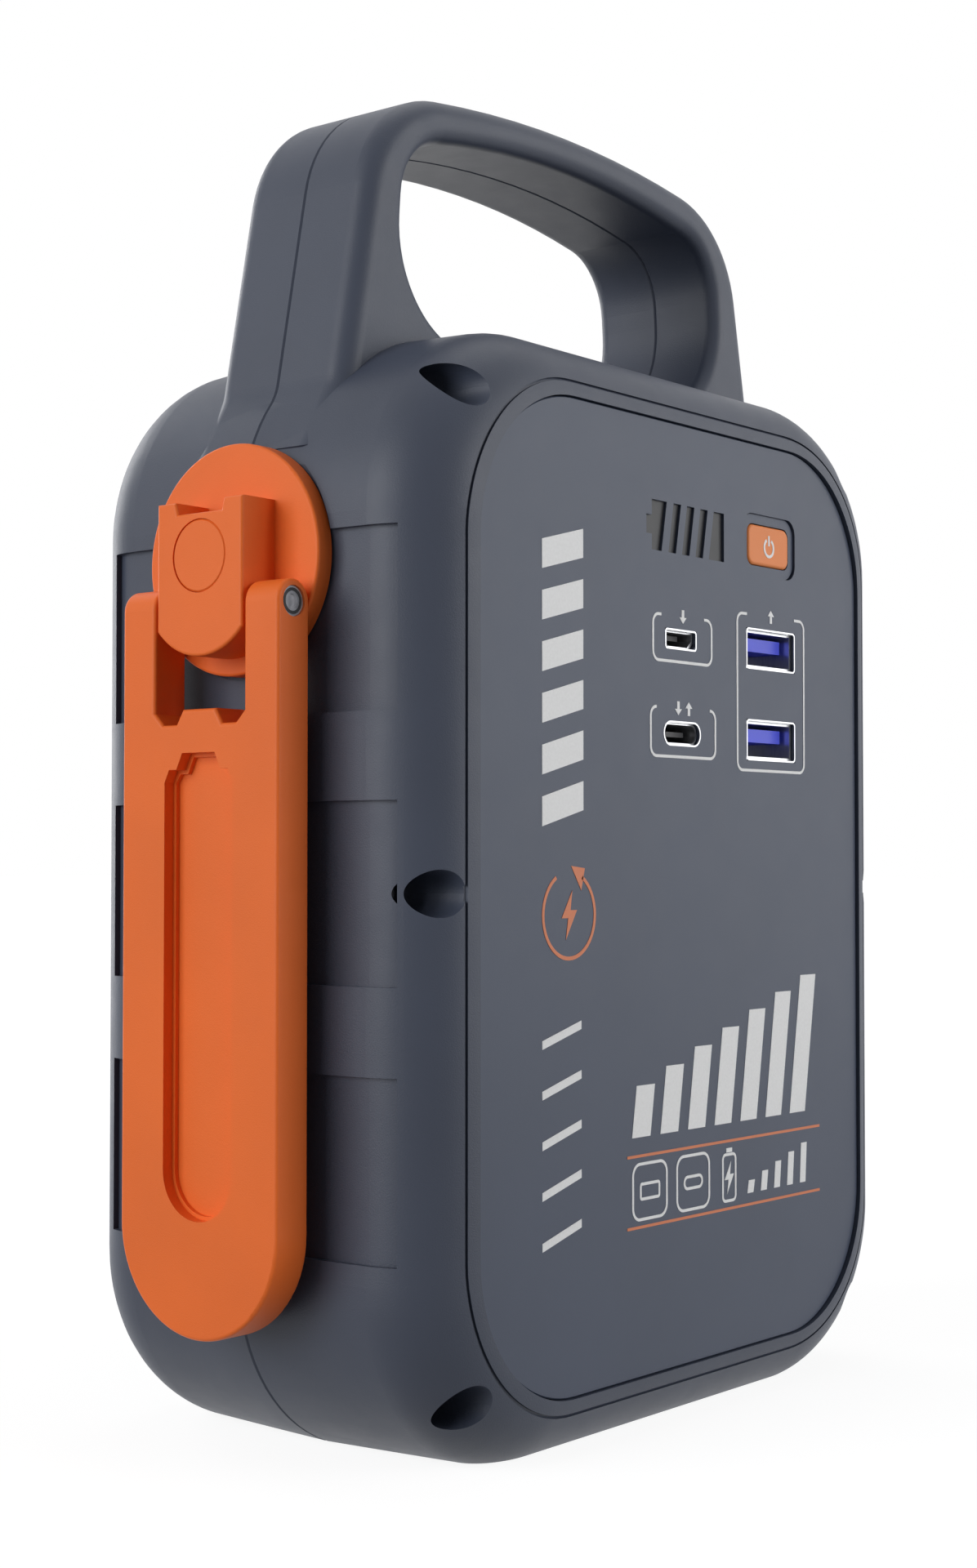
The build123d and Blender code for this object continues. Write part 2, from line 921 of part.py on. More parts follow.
with BuildPart() as rear_hollow:
    mirror(hollow_half.part, about=Plane.XZ)
    extrude(
        discs(back_plane(lamp_board_y), lamp_posts, lamp_post_radius),
        amount=case_half_depth,
        mode=Mode.SUBTRACT,
    )


def cut_side_holes():
    """Bearing hole and gearbox screw holes in the left wall of the shell being made."""
    extrude(
        discs(side_plane(pocket_x), [(0, hub_z)], bush_radius + fit_clearance),
        amount=hub_pad_thickness,
        mode=Mode.SUBTRACT,
    )
    extrude(
        discs(side_plane(plate_out_x), pillar_places, gearbox_screw_radius + turning_clearance),
        amount=-gearbox_screw_bite,
        mode=Mode.SUBTRACT,
    )


with BuildPart() as front_shell:
    add(case_half.part)
    add(front_hollow.part, mode=Mode.SUBTRACT)
    cut_side_holes()
    extrude(
        discs(front_plane(-screw_seat), screw_places, screw_well_radius),
        amount=case_half_depth,
        mode=Mode.SUBTRACT,
    )
    extrude(
        discs(front_plane(0), screw_places, screw_shank_radius + turning_clearance),
        amount=screw_seat,
        mode=Mode.SUBTRACT,
    )
    extrude(
        discs(front_plane(board_front), board_posts, board_screw_radius + turning_clearance),
        amount=board_screw_bite,
        mode=Mode.SUBTRACT,
    )
    for outline in port_outlines(front_plane(-cavity_half_depth), drop_in_clearance):
        extrude(outline, amount=panel_floor, mode=Mode.SUBTRACT)
    extrude(
        button_outline(front_plane(-cavity_half_depth), button_clearance),
        amount=panel_floor,
        mode=Mode.SUBTRACT,
    )
    extrude(
        gauge_block(front_plane(-cavity_half_depth), gauge_margin + drop_in_clearance),
        amount=panel_floor,
        mode=Mode.SUBTRACT,
    )
front_shell.part.label = "front_shell"
export_step(front_shell.part, "parts/front_shell.step")

with BuildPart() as rear_shell:
    mirror(case_half.part, about=Plane.XZ)
    add(rear_hollow.part, mode=Mode.SUBTRACT)
    cut_side_holes()
    extrude(
        discs(back_plane(0), screw_places, screw_shank_radius + turning_clearance),
        amount=screw_bite + running_gap,
        mode=Mode.SUBTRACT,
    )
    extrude(
        discs(back_plane(lamp_board_y), lamp_posts, board_screw_radius + turning_clearance),
        amount=lamp_screw_bite,
        mode=Mode.SUBTRACT,
    )
    extrude(
        lamp_outline(back_plane(cavity_half_depth), lamp_clearance),
        amount=panel_floor,
        mode=Mode.SUBTRACT,
    )
rear_shell.part.label = "rear_shell"
export_step(rear_shell.part, "parts/rear_shell.step")

with BuildPart() as case_screws:
    extrude(
        discs(front_plane(-screw_seat), screw_places, screw_head_radius),
        amount=screw_head_height,
    )
    fillet(
        case_screws.faces().sort_by(Axis.Y)[0:len(screw_places)].edges(),
        screw_head_round,
    )
    extrude(
        discs(front_plane(screw_bite), screw_places, screw_shank_radius),
        amount=screw_seat + screw_bite,
    )
    with BuildSketch(front_plane(-screw_seat - screw_head_height)):
        with Locations(*screw_places):
            Rectangle(2 * screw_drive_radius, screw_drive_width)
            Rectangle(screw_drive_width, 2 * screw_drive_radius)
    extrude(amount=-screw_drive_depth, mode=Mode.SUBTRACT)
case_screws.part.label = "case_screws"
export_step(case_screws.part, "parts/case_screws.step")

# ------------------------------------------------------------------ front panel and its fittings

with BuildPart() as front_panel:
    extrude(panel_outline(front_plane(-panel_back), -drop_in_clearance), amount=panel_thickness)
    chamfer(front_panel.faces().sort_by(Axis.Y)[0].edges(), panel_chamfer)
    extrude(gauge_outline(front_plane(-panel_back)), amount=panel_thickness, mode=Mode.SUBTRACT)
    extrude(
        rounded_bar(
            front_plane(-panel_back),
            button_x,
            button_z,
            button_width + 2 * button_rim,
            button_height + 2 * button_rim,
            bezel_corner,
        ),
        amount=panel_thickness,
        mode=Mode.SUBTRACT,
    )
    for outline in port_outlines(front_plane(-panel_back), drop_in_clearance):
        extrude(outline, amount=panel_thickness, mode=Mode.SUBTRACT)
front_panel.part.label = "front_panel"
export_step(front_panel.part, "parts/front_panel.step")

with BuildPart() as battery_window:
    extrude(gauge_block(front_plane(-cavity_half_depth), gauge_margin), amount=panel_floor)
    extrude(
        gauge_block(front_plane(-cavity_half_depth), gauge_margin + gauge_flange),
        amount=-gauge_flange_thickness,
    )
    with BuildSketch(front_plane(-cavity_half_depth)):
        with Locations(*[(x, gauge_z) for x in gauge_bar_middles]):
            Rectangle(guide_width, guide_height)
    extrude(amount=-(cavity_half_depth + board_front - charge_led_height - guide_gap))
battery_window.part.label = "battery_window"
export_step(battery_window.part, "parts/battery_window.step")

with BuildPart() as charge_leds:
    with BuildSketch(front_plane(board_front)):
        with Locations(*[(x, gauge_z) for x in gauge_bar_middles]):
            Rectangle(guide_width, guide_height)
    extrude(amount=charge_led_height)
charge_leds.part.label = "charge_leds"
export_step(charge_leds.part, "parts/charge_leds.step")

with BuildPart() as power_button:
    extrude(
        button_outline(front_plane(button_back), 0),
        amount=panel_face - button_setback + button_back,
    )
    fillet(power_button.faces().sort_by(Axis.Y)[0].edges(), button_edge)
    extrude(
        button_outline(front_plane(button_back), button_rim),
        amount=-button_flange,
    )
    extrude(
        discs(front_plane(button_back), [(button_x, button_z)], button_stem_radius),
        amount=button_back - plunger_front,
    )
power_button.part.label = "power_button"
export_step(power_button.part, "parts/power_button.step")

with BuildPart() as button_plunger:
    extrude(
        discs(front_plane(plunger_front), [(button_x, button_z)], plunger_radius),
        amount=-plunger_length,
    )
button_plunger.part.label = "button_plunger"
export_step(button_plunger.part, "parts/button_plunger.step")

with BuildPart() as tact_switch:
    with BuildSketch(front_plane(board_front)):
        with Locations((button_x, button_z)):
            Rectangle(switch_size, switch_size)
    extrude(amount=switch_height)
    chamfer(tact_switch.edges().filter_by(Axis.Y), switch_chamfer)
    extrude(
        discs(front_plane(switch_front), [(button_x, button_z)], plunger_radius + turning_clearance),
        amount=-switch_well,
        mode=Mode.SUBTRACT,
    )
tact_switch.part.label = "tact_switch"
export_step(tact_switch.part, "parts/tact_switch.step")

for place, z in usb_a_places.items():
    with BuildPart() as usb_a_port:
        extrude(usb_a_outline(front_plane(board_front), z, 0), amount=port_length)
        extrude(
            usb_a_outline(front_plane(board_front - port_floor), z, -usb_a_shell),
            amount=port_length,
            mode=Mode.SUBTRACT,
        )
    usb_a_port.part.label = f"usb_a_port_{place}"
    export_step(usb_a_port.part, f"parts/usb_a_port_{place}.step")

with BuildPart() as usb_a_tongues:
    with BuildSketch(front_plane(board_front - port_floor)):
        with Locations(*[(usb_a_x, z + usb_a_tongue_rise) for z in usb_a_places.values()]):
            Rectangle(usb_a_tongue_width, usb_a_tongue_height)
    extrude(amount=port_length - port_floor - usb_a_tongue_setback)
usb_a_tongues.part.label = "usb_a_tongues"
export_step(usb_a_tongues.part, "parts/usb_a_tongues.step")

with BuildPart() as usb_c_port:
    extrude(usb_c_outline(front_plane(board_front), 0), amount=port_length)
    extrude(
        usb_c_outline(front_plane(board_front - port_floor), -usb_c_shell),
        amount=port_length,
        mode=Mode.SUBTRACT,
    )
usb_c_port.part.label = "usb_c_port"
export_step(usb_c_port.part, "parts/usb_c_port.step")

with BuildPart() as micro_usb_port:
    extrude(micro_outline(front_plane(board_front), 0), amount=port_length)
    extrude(
        micro_outline(front_plane(board_front - port_floor), -micro_shell),
        amount=port_length,
        mode=Mode.SUBTRACT,
    )
micro_usb_port.part.label = "micro_usb_port"
export_step(micro_usb_port.part, "parts/micro_usb_port.step")

with BuildPart() as small_tongues:
    with BuildSketch(front_plane(board_front - port_floor)):
        with Locations((usb_c_x, usb_c_z)):
            Rectangle(usb_c_tongue_width, usb_c_tongue_height)
        with Locations((micro_x, micro_z + micro_tongue_rise)):
            Rectangle(micro_tongue_width, micro_tongue_height)
    extrude(amount=port_length - port_floor - small_tongue_setback)
small_tongues.part.label = "small_port_tongues"
export_step(small_tongues.part, "parts/small_port_tongues.step")

# ------------------------------------------------------------------ main board

with BuildPart() as main_board:
    with BuildSketch(front_plane(board_back)):
        with Locations(((board_left + board_right) / 2, (board_low + board_high) / 2)):
            RectangleRounded(board_right - board_left, board_high - board_low, board_corner)
        with Locations(*board_posts):
            Circle(board_screw_radius + turning_clearance, mode=Mode.SUBTRACT)
    extrude(amount=board_thickness)
main_board.part.label = "main_board"
export_step(main_board.part, "parts/main_board.step")

with BuildPart() as board_components:
    with BuildSketch(front_plane(board_back)):
        with Locations((board_left + chip_inset, gauge_z), (usb_c_x, usb_a_upper_z)):
            Rectangle(chip_width, chip_width)
    extrude(amount=-chip_height)
    with BuildSketch(front_plane(board_back)):
        with Locations((usb_a_x, usb_a_upper_z), (usb_a_x, usb_a_lower_z)):
            RectangleRounded(coil_width, coil_width, coil_corner)
    extrude(amount=-coil_height)
board_components.part.label = "board_components"
export_step(board_components.part, "parts/board_components.step")

with BuildPart() as board_screws:
    extrude(
        discs(front_plane(board_back), board_posts, board_screw_head_radius),
        amount=-board_screw_head_height,
    )
    extrude(
        discs(front_plane(board_back), board_posts, board_screw_radius),
        amount=board_thickness + board_screw_bite - running_gap,
    )
board_screws.part.label = "board_screws"
export_step(board_screws.part, "parts/board_screws.step")

# ------------------------------------------------------------------ crank

with BuildPart() as crank_hub:
    extrude(
        discs(side_plane(hub_back_x), [(0, hub_z)], hub_disc_radius),
        amount=-hub_disc_thickness,
    )
    fillet(crank_hub.faces().sort_by(Axis.X)[0].edges(), hub_edge)
    extrude(hub_block_outline(side_plane(disc_face_x)), amount=arm_outer_x - disc_face_x)
    fillet(crank_hub.faces().sort_by(Axis.X)[0].edges(), hub_edge)
    extrude(
        discs(side_plane(arm_outer_x), [(0, hub_z)], cap_radius + cap_clearance),
        amount=cap_thickness,
        mode=Mode.SUBTRACT,
    )
    extrude(
        discs(side_plane(arm_outer_x), [(0, hub_z)], hub_screw_head_radius + drop_in_clearance),
        amount=cap_thickness + hub_screw_head_height,
        mode=Mode.SUBTRACT,
    )
    extrude(
        discs(side_plane(arm_outer_x), [(0, hub_z)], hub_screw_radius + turning_clearance),
        amount=hub_back_x - arm_outer_x,
        mode=Mode.SUBTRACT,
    )
    extrude(
        shaft_section(side_plane(shaft_outer_x), fit_clearance),
        amount=hub_back_x - shaft_outer_x,
        mode=Mode.SUBTRACT,
    )
    extrude(
        discs(front_plane(0), [(pin_x, pin_z)], pin_radius + fit_clearance),
        amount=hub_block_half_width,
        both=True,
        mode=Mode.SUBTRACT,
    )
crank_hub.part.label = "crank_hub"
export_step(crank_hub.part, "parts/crank_hub.step")

with BuildPart() as hub_cap:
    extrude(
        discs(side_plane(arm_outer_x), [(0, hub_z)], cap_radius),
        amount=cap_thickness,
    )
    chamfer(hub_cap.faces().sort_by(Axis.X)[0].edges(), cap_edge)
hub_cap.part.label = "hub_screw_cap"
export_step(hub_cap.part, "parts/hub_screw_cap.step")

with BuildPart() as hub_screw:
    extrude(
        discs(side_plane(hub_screw_seat_x), [(0, hub_z)], hub_screw_head_radius),
        amount=-hub_screw_head_height,
    )
    with BuildSketch(side_plane(hub_screw_seat_x - hub_screw_head_height)):
        with Locations((0, hub_z)):
            RegularPolygon(screw_drive_radius, socket_drive_sides)
    extrude(amount=screw_drive_depth, mode=Mode.SUBTRACT)
    extrude(
        discs(side_plane(hub_screw_seat_x), [(0, hub_z)], hub_screw_radius),
        amount=hub_web + hub_screw_length,
    )
hub_screw.part.label = "hub_screw"
export_step(hub_screw.part, "parts/hub_screw.step")

with BuildPart() as hub_shaft:
    extrude(
        discs(side_plane(shaft_outer_x), [(0, hub_z)], shaft_radius),
        amount=hub_back_x - shaft_outer_x,
    )
    extrude(
        shaft_section(side_plane(shaft_outer_x), 0),
        amount=hub_back_x - shaft_outer_x,
        mode=Mode.INTERSECT,
    )
    extrude(
        discs(side_plane(hub_back_x), [(0, hub_z)], shaft_radius),
        amount=layer_1_x - hub_back_x,
    )
    extrude(shaft_section(side_plane(layer_1_x), 0), amount=shaft_inner_x - layer_1_x)
    with BuildSketch(side_plane(ring_x)):
        with Locations((0, hub_z)):
            Circle(shaft_radius)
            Circle(shaft_radius - ring_groove_depth, mode=Mode.SUBTRACT)
    extrude(amount=ring_thickness, mode=Mode.SUBTRACT)
    extrude(
        discs(side_plane(shaft_outer_x), [(0, hub_z)], hub_screw_radius + fit_clearance),
        amount=hub_screw_length + running_gap,
        mode=Mode.SUBTRACT,
    )
hub_shaft.part.label = "hub_shaft"
export_step(hub_shaft.part, "parts/hub_shaft.step")

with BuildPart() as retaining_ring:
    with BuildSketch(side_plane(ring_x + fit_clearance)):
        with Locations((0, hub_z)):
            Circle(shaft_radius - ring_groove_depth + ring_width)
            Circle(shaft_radius - ring_groove_depth + fit_clearance, mode=Mode.SUBTRACT)
        with Locations((0, hub_z)):
            Rectangle(
                ring_mouth,
                2 * shaft_radius,
                align=(Align.CENTER, Align.MAX),
                mode=Mode.SUBTRACT,
            )
    extrude(amount=ring_thickness - 2 * fit_clearance)
retaining_ring.part.label = "retaining_ring"
export_step(retaining_ring.part, "parts/retaining_ring.step")

with BuildPart() as hub_bush:
    extrude(
        discs(side_plane(pocket_x), [(0, hub_z)], bush_radius),
        amount=hub_pad_thickness,
    )
    extrude(
        discs(side_plane(pad_x), [(0, hub_z)], bush_flange_radius),
        amount=bush_flange_thickness,
    )
    extrude(
        discs(side_plane(pad_x), [(0, hub_z)], bush_sleeve_radius),
        amount=gearbox_standoff - running_gap,
    )
    extrude(
        discs(side_plane(pocket_x), [(0, hub_z)], shaft_radius + turning_clearance),
        amount=hub_pad_thickness + gearbox_standoff,
        mode=Mode.SUBTRACT,
    )
hub_bush.part.label = "hub_bush"
export_step(hub_bush.part, "parts/hub_bush.step")

with BuildPart() as hinge_pin:
    extrude(
        discs(front_plane(arm_half_width - pin_head_setback), [(pin_x, pin_z)], pin_radius),
        amount=2 * (arm_half_width - pin_head_setback),
    )
    extrude(
        discs(front_plane(pin_head_setback - arm_half_width), [(pin_x, pin_z)], pin_head_radius),
        amount=-pin_head_height,
    )
    extrude(
        discs(front_plane(pin_head_setback - arm_half_width), [(pin_x, pin_z)], pin_dimple_radius),
        amount=-pin_dimple_depth,
        mode=Mode.SUBTRACT,
    )
hinge_pin.part.label = "hinge_pin"
export_step(hinge_pin.part, "parts/hinge_pin.step")

with BuildPart() as crank_arm:
    with BuildSketch(side_plane(arm_outer_x)):
        with Locations((0, arm_end_z)):
            Circle(arm_half_width)
            Rectangle(2 * arm_half_width, arm_reach, align=(Align.CENTER, Align.MIN))
    extrude(amount=arm_thickness)
    extrude(
        discs(front_plane(0), [(pin_x, pin_z)], arm_thickness / 2),
        amount=arm_half_width,
        both=True,
    )
    extrude(fork_outline(side_plane(arm_outer_x)), amount=arm_thickness, mode=Mode.SUBTRACT)
    arm_faces = crank_arm.faces().sort_by(Axis.X)
    arm_rims = (arm_faces[0].edges() + arm_faces[-1].edges()).filter_by_position(
        Axis.Z, 0, pin_z - arm_edge
    )
    fillet(arm_rims, arm_edge)
    extrude(
        finger_groove_outline(side_plane(arm_outer_x), 0),
        amount=finger_groove_depth - finger_groove_step_depth,
        mode=Mode.SUBTRACT,
    )
    extrude(
        finger_groove_outline(side_plane(arm_outer_x), finger_groove_step),
        amount=finger_groove_depth,
        mode=Mode.SUBTRACT,
    )
    extrude(
        discs(front_plane(0), [(pin_x, pin_z)], pin_radius + turning_clearance),
        amount=arm_half_width,
        both=True,
        mode=Mode.SUBTRACT,
    )
    extrude(
        discs(front_plane(-arm_half_width), [(pin_x, pin_z)], pin_head_radius + turning_clearance),
        amount=-pin_head_setback - pin_head_height - turning_clearance,
        mode=Mode.SUBTRACT,
    )
    extrude(
        discs(side_plane(arm_inner_x), [(0, arm_end_z)], cup_radius + cup_seat_clearance),
        amount=-cup_seat_depth,
        mode=Mode.SUBTRACT,
    )
    extrude(
        discs(side_plane(arm_inner_x), [(0, arm_end_z)], rivet_radius + fit_clearance),
        amount=-cup_seat_depth - rivet_bite,
        mode=Mode.SUBTRACT,
    )
crank_arm.part.label = "crank_arm"
export_step(crank_arm.part, "parts/crank_arm.step")

with BuildPart() as crank_knob:
    extrude(
        discs(side_plane(cup_floor_x), [(0, arm_end_z)], cup_radius),
        amount=cup_face_x - cup_floor_x,
    )
    fillet(crank_knob.faces().sort_by(Axis.X)[-1].edges(), cup_edge)
    with Locations((cup_face_x - cup_dish_depth + dish_sphere_radius, 0, arm_end_z)):
        Sphere(dish_sphere_radius, mode=Mode.SUBTRACT)
    extrude(
        discs(side_plane(rivet_head_x), [(0, arm_end_z)], rivet_head_radius + drop_in_clearance),
        amount=cup_proud + cup_seat_depth,
        mode=Mode.SUBTRACT,
    )
    extrude(
        discs(side_plane(cup_floor_x), [(0, arm_end_z)], rivet_radius + turning_clearance),
        amount=cup_face_x - cup_floor_x,
        mode=Mode.SUBTRACT,
    )
crank_knob.part.label = "crank_knob"
export_step(crank_knob.part, "parts/crank_knob.step")

with BuildPart() as knob_rivet:
    extrude(
        discs(side_plane(rivet_head_x + turning_clearance), [(0, arm_end_z)], rivet_head_radius),
        amount=rivet_head_height,
    )
    fillet(knob_rivet.faces().sort_by(Axis.X)[-1].edges(), rivet_head_height / 2)
    extrude(
        discs(side_plane(rivet_head_x + turning_clearance), [(0, arm_end_z)], rivet_radius),
        amount=arm_inner_x - cup_seat_depth - rivet_bite - rivet_head_x,
    )
knob_rivet.part.label = "knob_rivet"
export_step(knob_rivet.part, "parts/knob_rivet.step")

# ------------------------------------------------------------------ gear train

with BuildPart() as crank_gear:
    extrude(
        gear_outline(layer_1_x, hub_z, crank_gear_teeth, module_1, driving_tooth()),
        amount=face_1,
    )
    with BuildSketch(side_plane(layer_1_x)):
        with Locations((0, hub_z)):
            with PolarLocations(gear_hole_circle, gear_hole_count):
                Circle(gear_hole_radius)
    extrude(amount=face_1, mode=Mode.SUBTRACT)
    extrude(
        shaft_section(side_plane(layer_1_x), fit_clearance),
        amount=face_1,
        mode=Mode.SUBTRACT,
    )
crank_gear.part.label = "crank_gear"
export_step(crank_gear.part, "parts/crank_gear.step")

with BuildPart() as compound_gear_1:
    extrude(
        gear_outline(layer_1_x, gear_1_z, pinion_1_teeth, module_1, driven_tooth(pinion_1_teeth)),
        amount=layer_2_x - layer_1_x,
    )
    extrude(
        gear_outline(layer_2_x, gear_1_z, wheel_1_teeth, module_2, driving_tooth()),
        amount=face_2,
    )
    extrude(
        discs(side_plane(layer_2_x), [(0, gear_1_z)], gear_boss_radius),
        amount=inner_plate_x - running_gap - layer_2_x,
    )
    extrude(
        discs(side_plane(layer_1_x), [(0, gear_1_z)], axle_radius + turning_clearance),
        amount=inner_plate_x - layer_1_x,
        mode=Mode.SUBTRACT,
    )
compound_gear_1.part.label = "compound_gear_1"
export_step(compound_gear_1.part, "parts/compound_gear_1.step")

with BuildPart() as compound_gear_2:
    extrude(
        discs(side_plane(plate_in_x + running_gap), [(0, gear_2_z)], gear_boss_radius),
        amount=layer_2_x - plate_in_x - running_gap,
    )
    extrude(
        gear_outline(layer_2_x, gear_2_z, pinion_2_teeth, module_2, driven_tooth(pinion_2_teeth)),
        amount=layer_3_x - layer_2_x,
    )
    extrude(
        gear_outline(layer_3_x, gear_2_z, wheel_2_teeth, module_3, driving_tooth()),
        amount=face_3,
    )
    extrude(
        discs(side_plane(plate_in_x), [(0, gear_2_z)], axle_radius + turning_clearance),
        amount=inner_plate_x - plate_in_x,
        mode=Mode.SUBTRACT,
    )
compound_gear_2.part.label = "compound_gear_2"
export_step(compound_gear_2.part, "parts/compound_gear_2.step")

with BuildPart() as motor_pinion:
    extrude(
        gear_outline(
            layer_3_x,
            generator_z,
            motor_pinion_teeth,
            module_3,
            driven_tooth(motor_pinion_teeth),
        ),
        amount=face_3,
    )
    extrude(
        discs(side_plane(layer_3_x), [(0, generator_z)], generator_shaft_radius + fit_clearance),
        amount=face_3,
        mode=Mode.SUBTRACT,
    )
motor_pinion.part.label = "motor_pinion"
export_step(motor_pinion.part, "parts/motor_pinion.step")

for number, z in enumerate((gear_1_z, gear_2_z), start=1):
    with BuildPart() as gear_axle:
        extrude(
            discs(side_plane(plate_out_x), [(0, z)], axle_radius),
            amount=generator_x - plate_out_x,
        )
    gear_axle.part.label = f"gear_axle_{number}"
    export_step(gear_axle.part, f"parts/gear_axle_{number}.step")

for side, x, nose in (("outer", plate_out_x, 0), ("inner", inner_plate_x, generator_nose_radius)):
    with BuildPart() as gearbox_plate:
        extrude(gearbox_plate_outline(side_plane(x)), amount=gearbox_plate_thickness)
        for places, radius in (
            ([(0, hub_z)], shaft_radius + turning_clearance),
            ([(0, gear_1_z), (0, gear_2_z)], axle_radius + fit_clearance),
            (pillar_places, gearbox_screw_radius + fit_clearance),
            ([(0, generator_z)], nose + fit_clearance),
        ):
            extrude(
                discs(side_plane(x), places, radius),
                amount=gearbox_plate_thickness,
                mode=Mode.SUBTRACT,
            )
    gearbox_plate.part.label = f"gearbox_plate_{side}"
    export_step(gearbox_plate.part, f"parts/gearbox_plate_{side}.step")

with BuildPart() as gearbox_pillars:
    with BuildSketch(side_plane(plate_in_x)):
        with Locations(*pillar_places):
            Circle(pillar_radius)
            Circle(pillar_bore, mode=Mode.SUBTRACT)
    extrude(amount=inner_plate_x - plate_in_x)
gearbox_pillars.part.label = "gearbox_pillars"
export_step(gearbox_pillars.part, "parts/gearbox_pillars.step")

with BuildPart() as gearbox_screws:
    extrude(
        discs(side_plane(generator_x), pillar_places, gearbox_screw_head_radius),
        amount=gearbox_screw_head_height,
    )
    extrude(
        discs(side_plane(generator_x), pillar_places, gearbox_screw_radius),
        amount=plate_out_x - gearbox_screw_bite + running_gap - generator_x,
    )
gearbox_screws.part.label = "gearbox_screws"
export_step(gearbox_screws.part, "parts/gearbox_screws.step")

# ------------------------------------------------------------------ generator

with BuildPart() as generator_can:
    extrude(
        discs(side_plane(generator_x), [(0, generator_z)], generator_radius),
        amount=generator_length,
    )
    fillet(generator_can.faces().sort_by(Axis.X)[0].edges(), generator_wall)
    extrude(
        discs(side_plane(generator_x), [(0, generator_z)], generator_nose_radius),
        amount=-generator_nose_length,
    )
    extrude(
        discs(
            side_plane(generator_x + generator_wall),
            [(0, generator_z)],
            generator_radius - generator_wall,
        ),
        amount=generator_length,
        mode=Mode.SUBTRACT,
    )
    extrude(
        discs(
            side_plane(generator_x - generator_nose_length),
            [(0, generator_z)],
            generator_shaft_radius + turning_clearance,
        ),
        amount=generator_nose_length + generator_wall,
        mode=Mode.SUBTRACT,
    )
generator_can.part.label = "generator_can"
export_step(generator_can.part, "parts/generator_can.step")

with BuildPart() as generator_magnets:
    with BuildSketch(side_plane(generator_x + magnet_start)):
        with Locations((0, generator_z)):
            Circle(magnet_outer_radius)
            Circle(magnet_inner_radius, mode=Mode.SUBTRACT)
            Rectangle(
                2 * magnet_outer_radius,
                2 * magnet_outer_radius * cos(radians(magnet_half_angle)),
                mode=Mode.SUBTRACT,
            )
    extrude(amount=magnet_length)
generator_magnets.part.label = "generator_magnets"
export_step(generator_magnets.part, "parts/generator_magnets.step")

with BuildPart() as generator_rotor:
    extrude(
        discs(side_plane(layer_3_x), [(0, generator_z)], generator_shaft_radius),
        amount=generator_end_x - end_cap_thickness / 2 - layer_3_x,
    )
    with BuildSketch(side_plane(generator_x + rotor_start)):
        with Locations((0, generator_z)):
            Circle(magnet_inner_radius - rotor_air_gap)
            with PolarLocations(magnet_inner_radius - rotor_air_gap, rotor_slots):
                Rectangle(2 * rotor_slot_depth, rotor_slot_width, mode=Mode.SUBTRACT)
    extrude(amount=rotor_length)
generator_rotor.part.label = "generator_rotor"
export_step(generator_rotor.part, "parts/generator_rotor.step")

with BuildPart() as commutator:
    with BuildSketch(side_plane(generator_x + rotor_start + rotor_length)):
        with Locations((0, generator_z)):
            Circle(commutator_radius)
            Circle(generator_shaft_radius + fit_clearance, mode=Mode.SUBTRACT)
    extrude(amount=commutator_length)
commutator.part.label = "commutator"
export_step(commutator.part, "parts/commutator.step")

with BuildPart() as generator_end_cap:
    extrude(
        discs(
            side_plane(generator_end_x - end_cap_thickness),
            [(0, generator_z)],
            generator_radius - generator_wall - fit_clearance,
        ),
        amount=end_cap_thickness,
    )
    extrude(
        discs(
            side_plane(generator_end_x - end_cap_thickness),
            [(0, generator_z)],
            generator_shaft_radius + turning_clearance,
        ),
        amount=end_cap_socket_depth,
        mode=Mode.SUBTRACT,
    )
generator_end_cap.part.label = "generator_end_cap"
export_step(generator_end_cap.part, "parts/generator_end_cap.step")

with BuildPart() as generator_terminals:
    with BuildSketch(side_plane(generator_end_x)):
        with Locations((0, generator_z)):
            with GridLocations(2 * terminal_spread, 0, 2, 1):
                Rectangle(terminal_thickness, terminal_width)
    extrude(amount=terminal_length)
generator_terminals.part.label = "generator_terminals"
export_step(generator_terminals.part, "parts/generator_terminals.step")

# ------------------------------------------------------------------ battery

for number, place in enumerate(cell_places, start=1):
    with BuildPart() as battery_cell:
        extrude(discs(Plane.XY.offset(cell_z), [place], cell_radius), amount=cell_length)
        extrude(
            discs(Plane.XY.offset(cell_z + cell_length), [place], cell_pole_radius),
            amount=cell_pole_height,
        )
    battery_cell.part.label = f"battery_cell_{number}"
    export_step(battery_cell.part, f"parts/battery_cell_{number}.step")

with BuildPart() as cell_holder:
    holder_width = cell_pitch + 2 * (cell_radius + holder_margin)
    for low, high in (
        (holder_floor_z, cell_z + holder_socket),
        (holder_collar_z, holder_collar_z + holder_collar),
    ):
        with BuildSketch(Plane.XY.offset(low)):
            with Locations((cells_x, cells_y)):
                RectangleRounded(holder_width, holder_width, cell_radius)
        extrude(amount=high - low)
    with BuildSketch(Plane.XY.offset(holder_floor_z)):
        with Locations((cells_x, cells_y)):
            Rectangle(holder_width, holder_web)
            Rectangle(holder_web, holder_width)
    extrude(amount=holder_collar_z - holder_floor_z)
    extrude(
        discs(Plane.XY.offset(cell_z), cell_places, cell_radius + cell_clearance),
        amount=cell_length,
        mode=Mode.SUBTRACT,
    )
cell_holder.part.label = "battery_holder"
export_step(cell_holder.part, "parts/battery_holder.step")

with BuildPart() as battery_tabs:
    with BuildSketch(Plane.XY.offset(cell_z + cell_length + cell_pole_height)):
        with Locations((cells_x, cells_y)):
            with GridLocations(0, cell_pitch, 1, 2):
                Rectangle(cell_pitch + tab_width, tab_width)
    extrude(amount=tab_thickness)
battery_tabs.part.label = "battery_tabs"
export_step(battery_tabs.part, "parts/battery_tabs.step")

# ------------------------------------------------------------------ back: lamp and solar panel

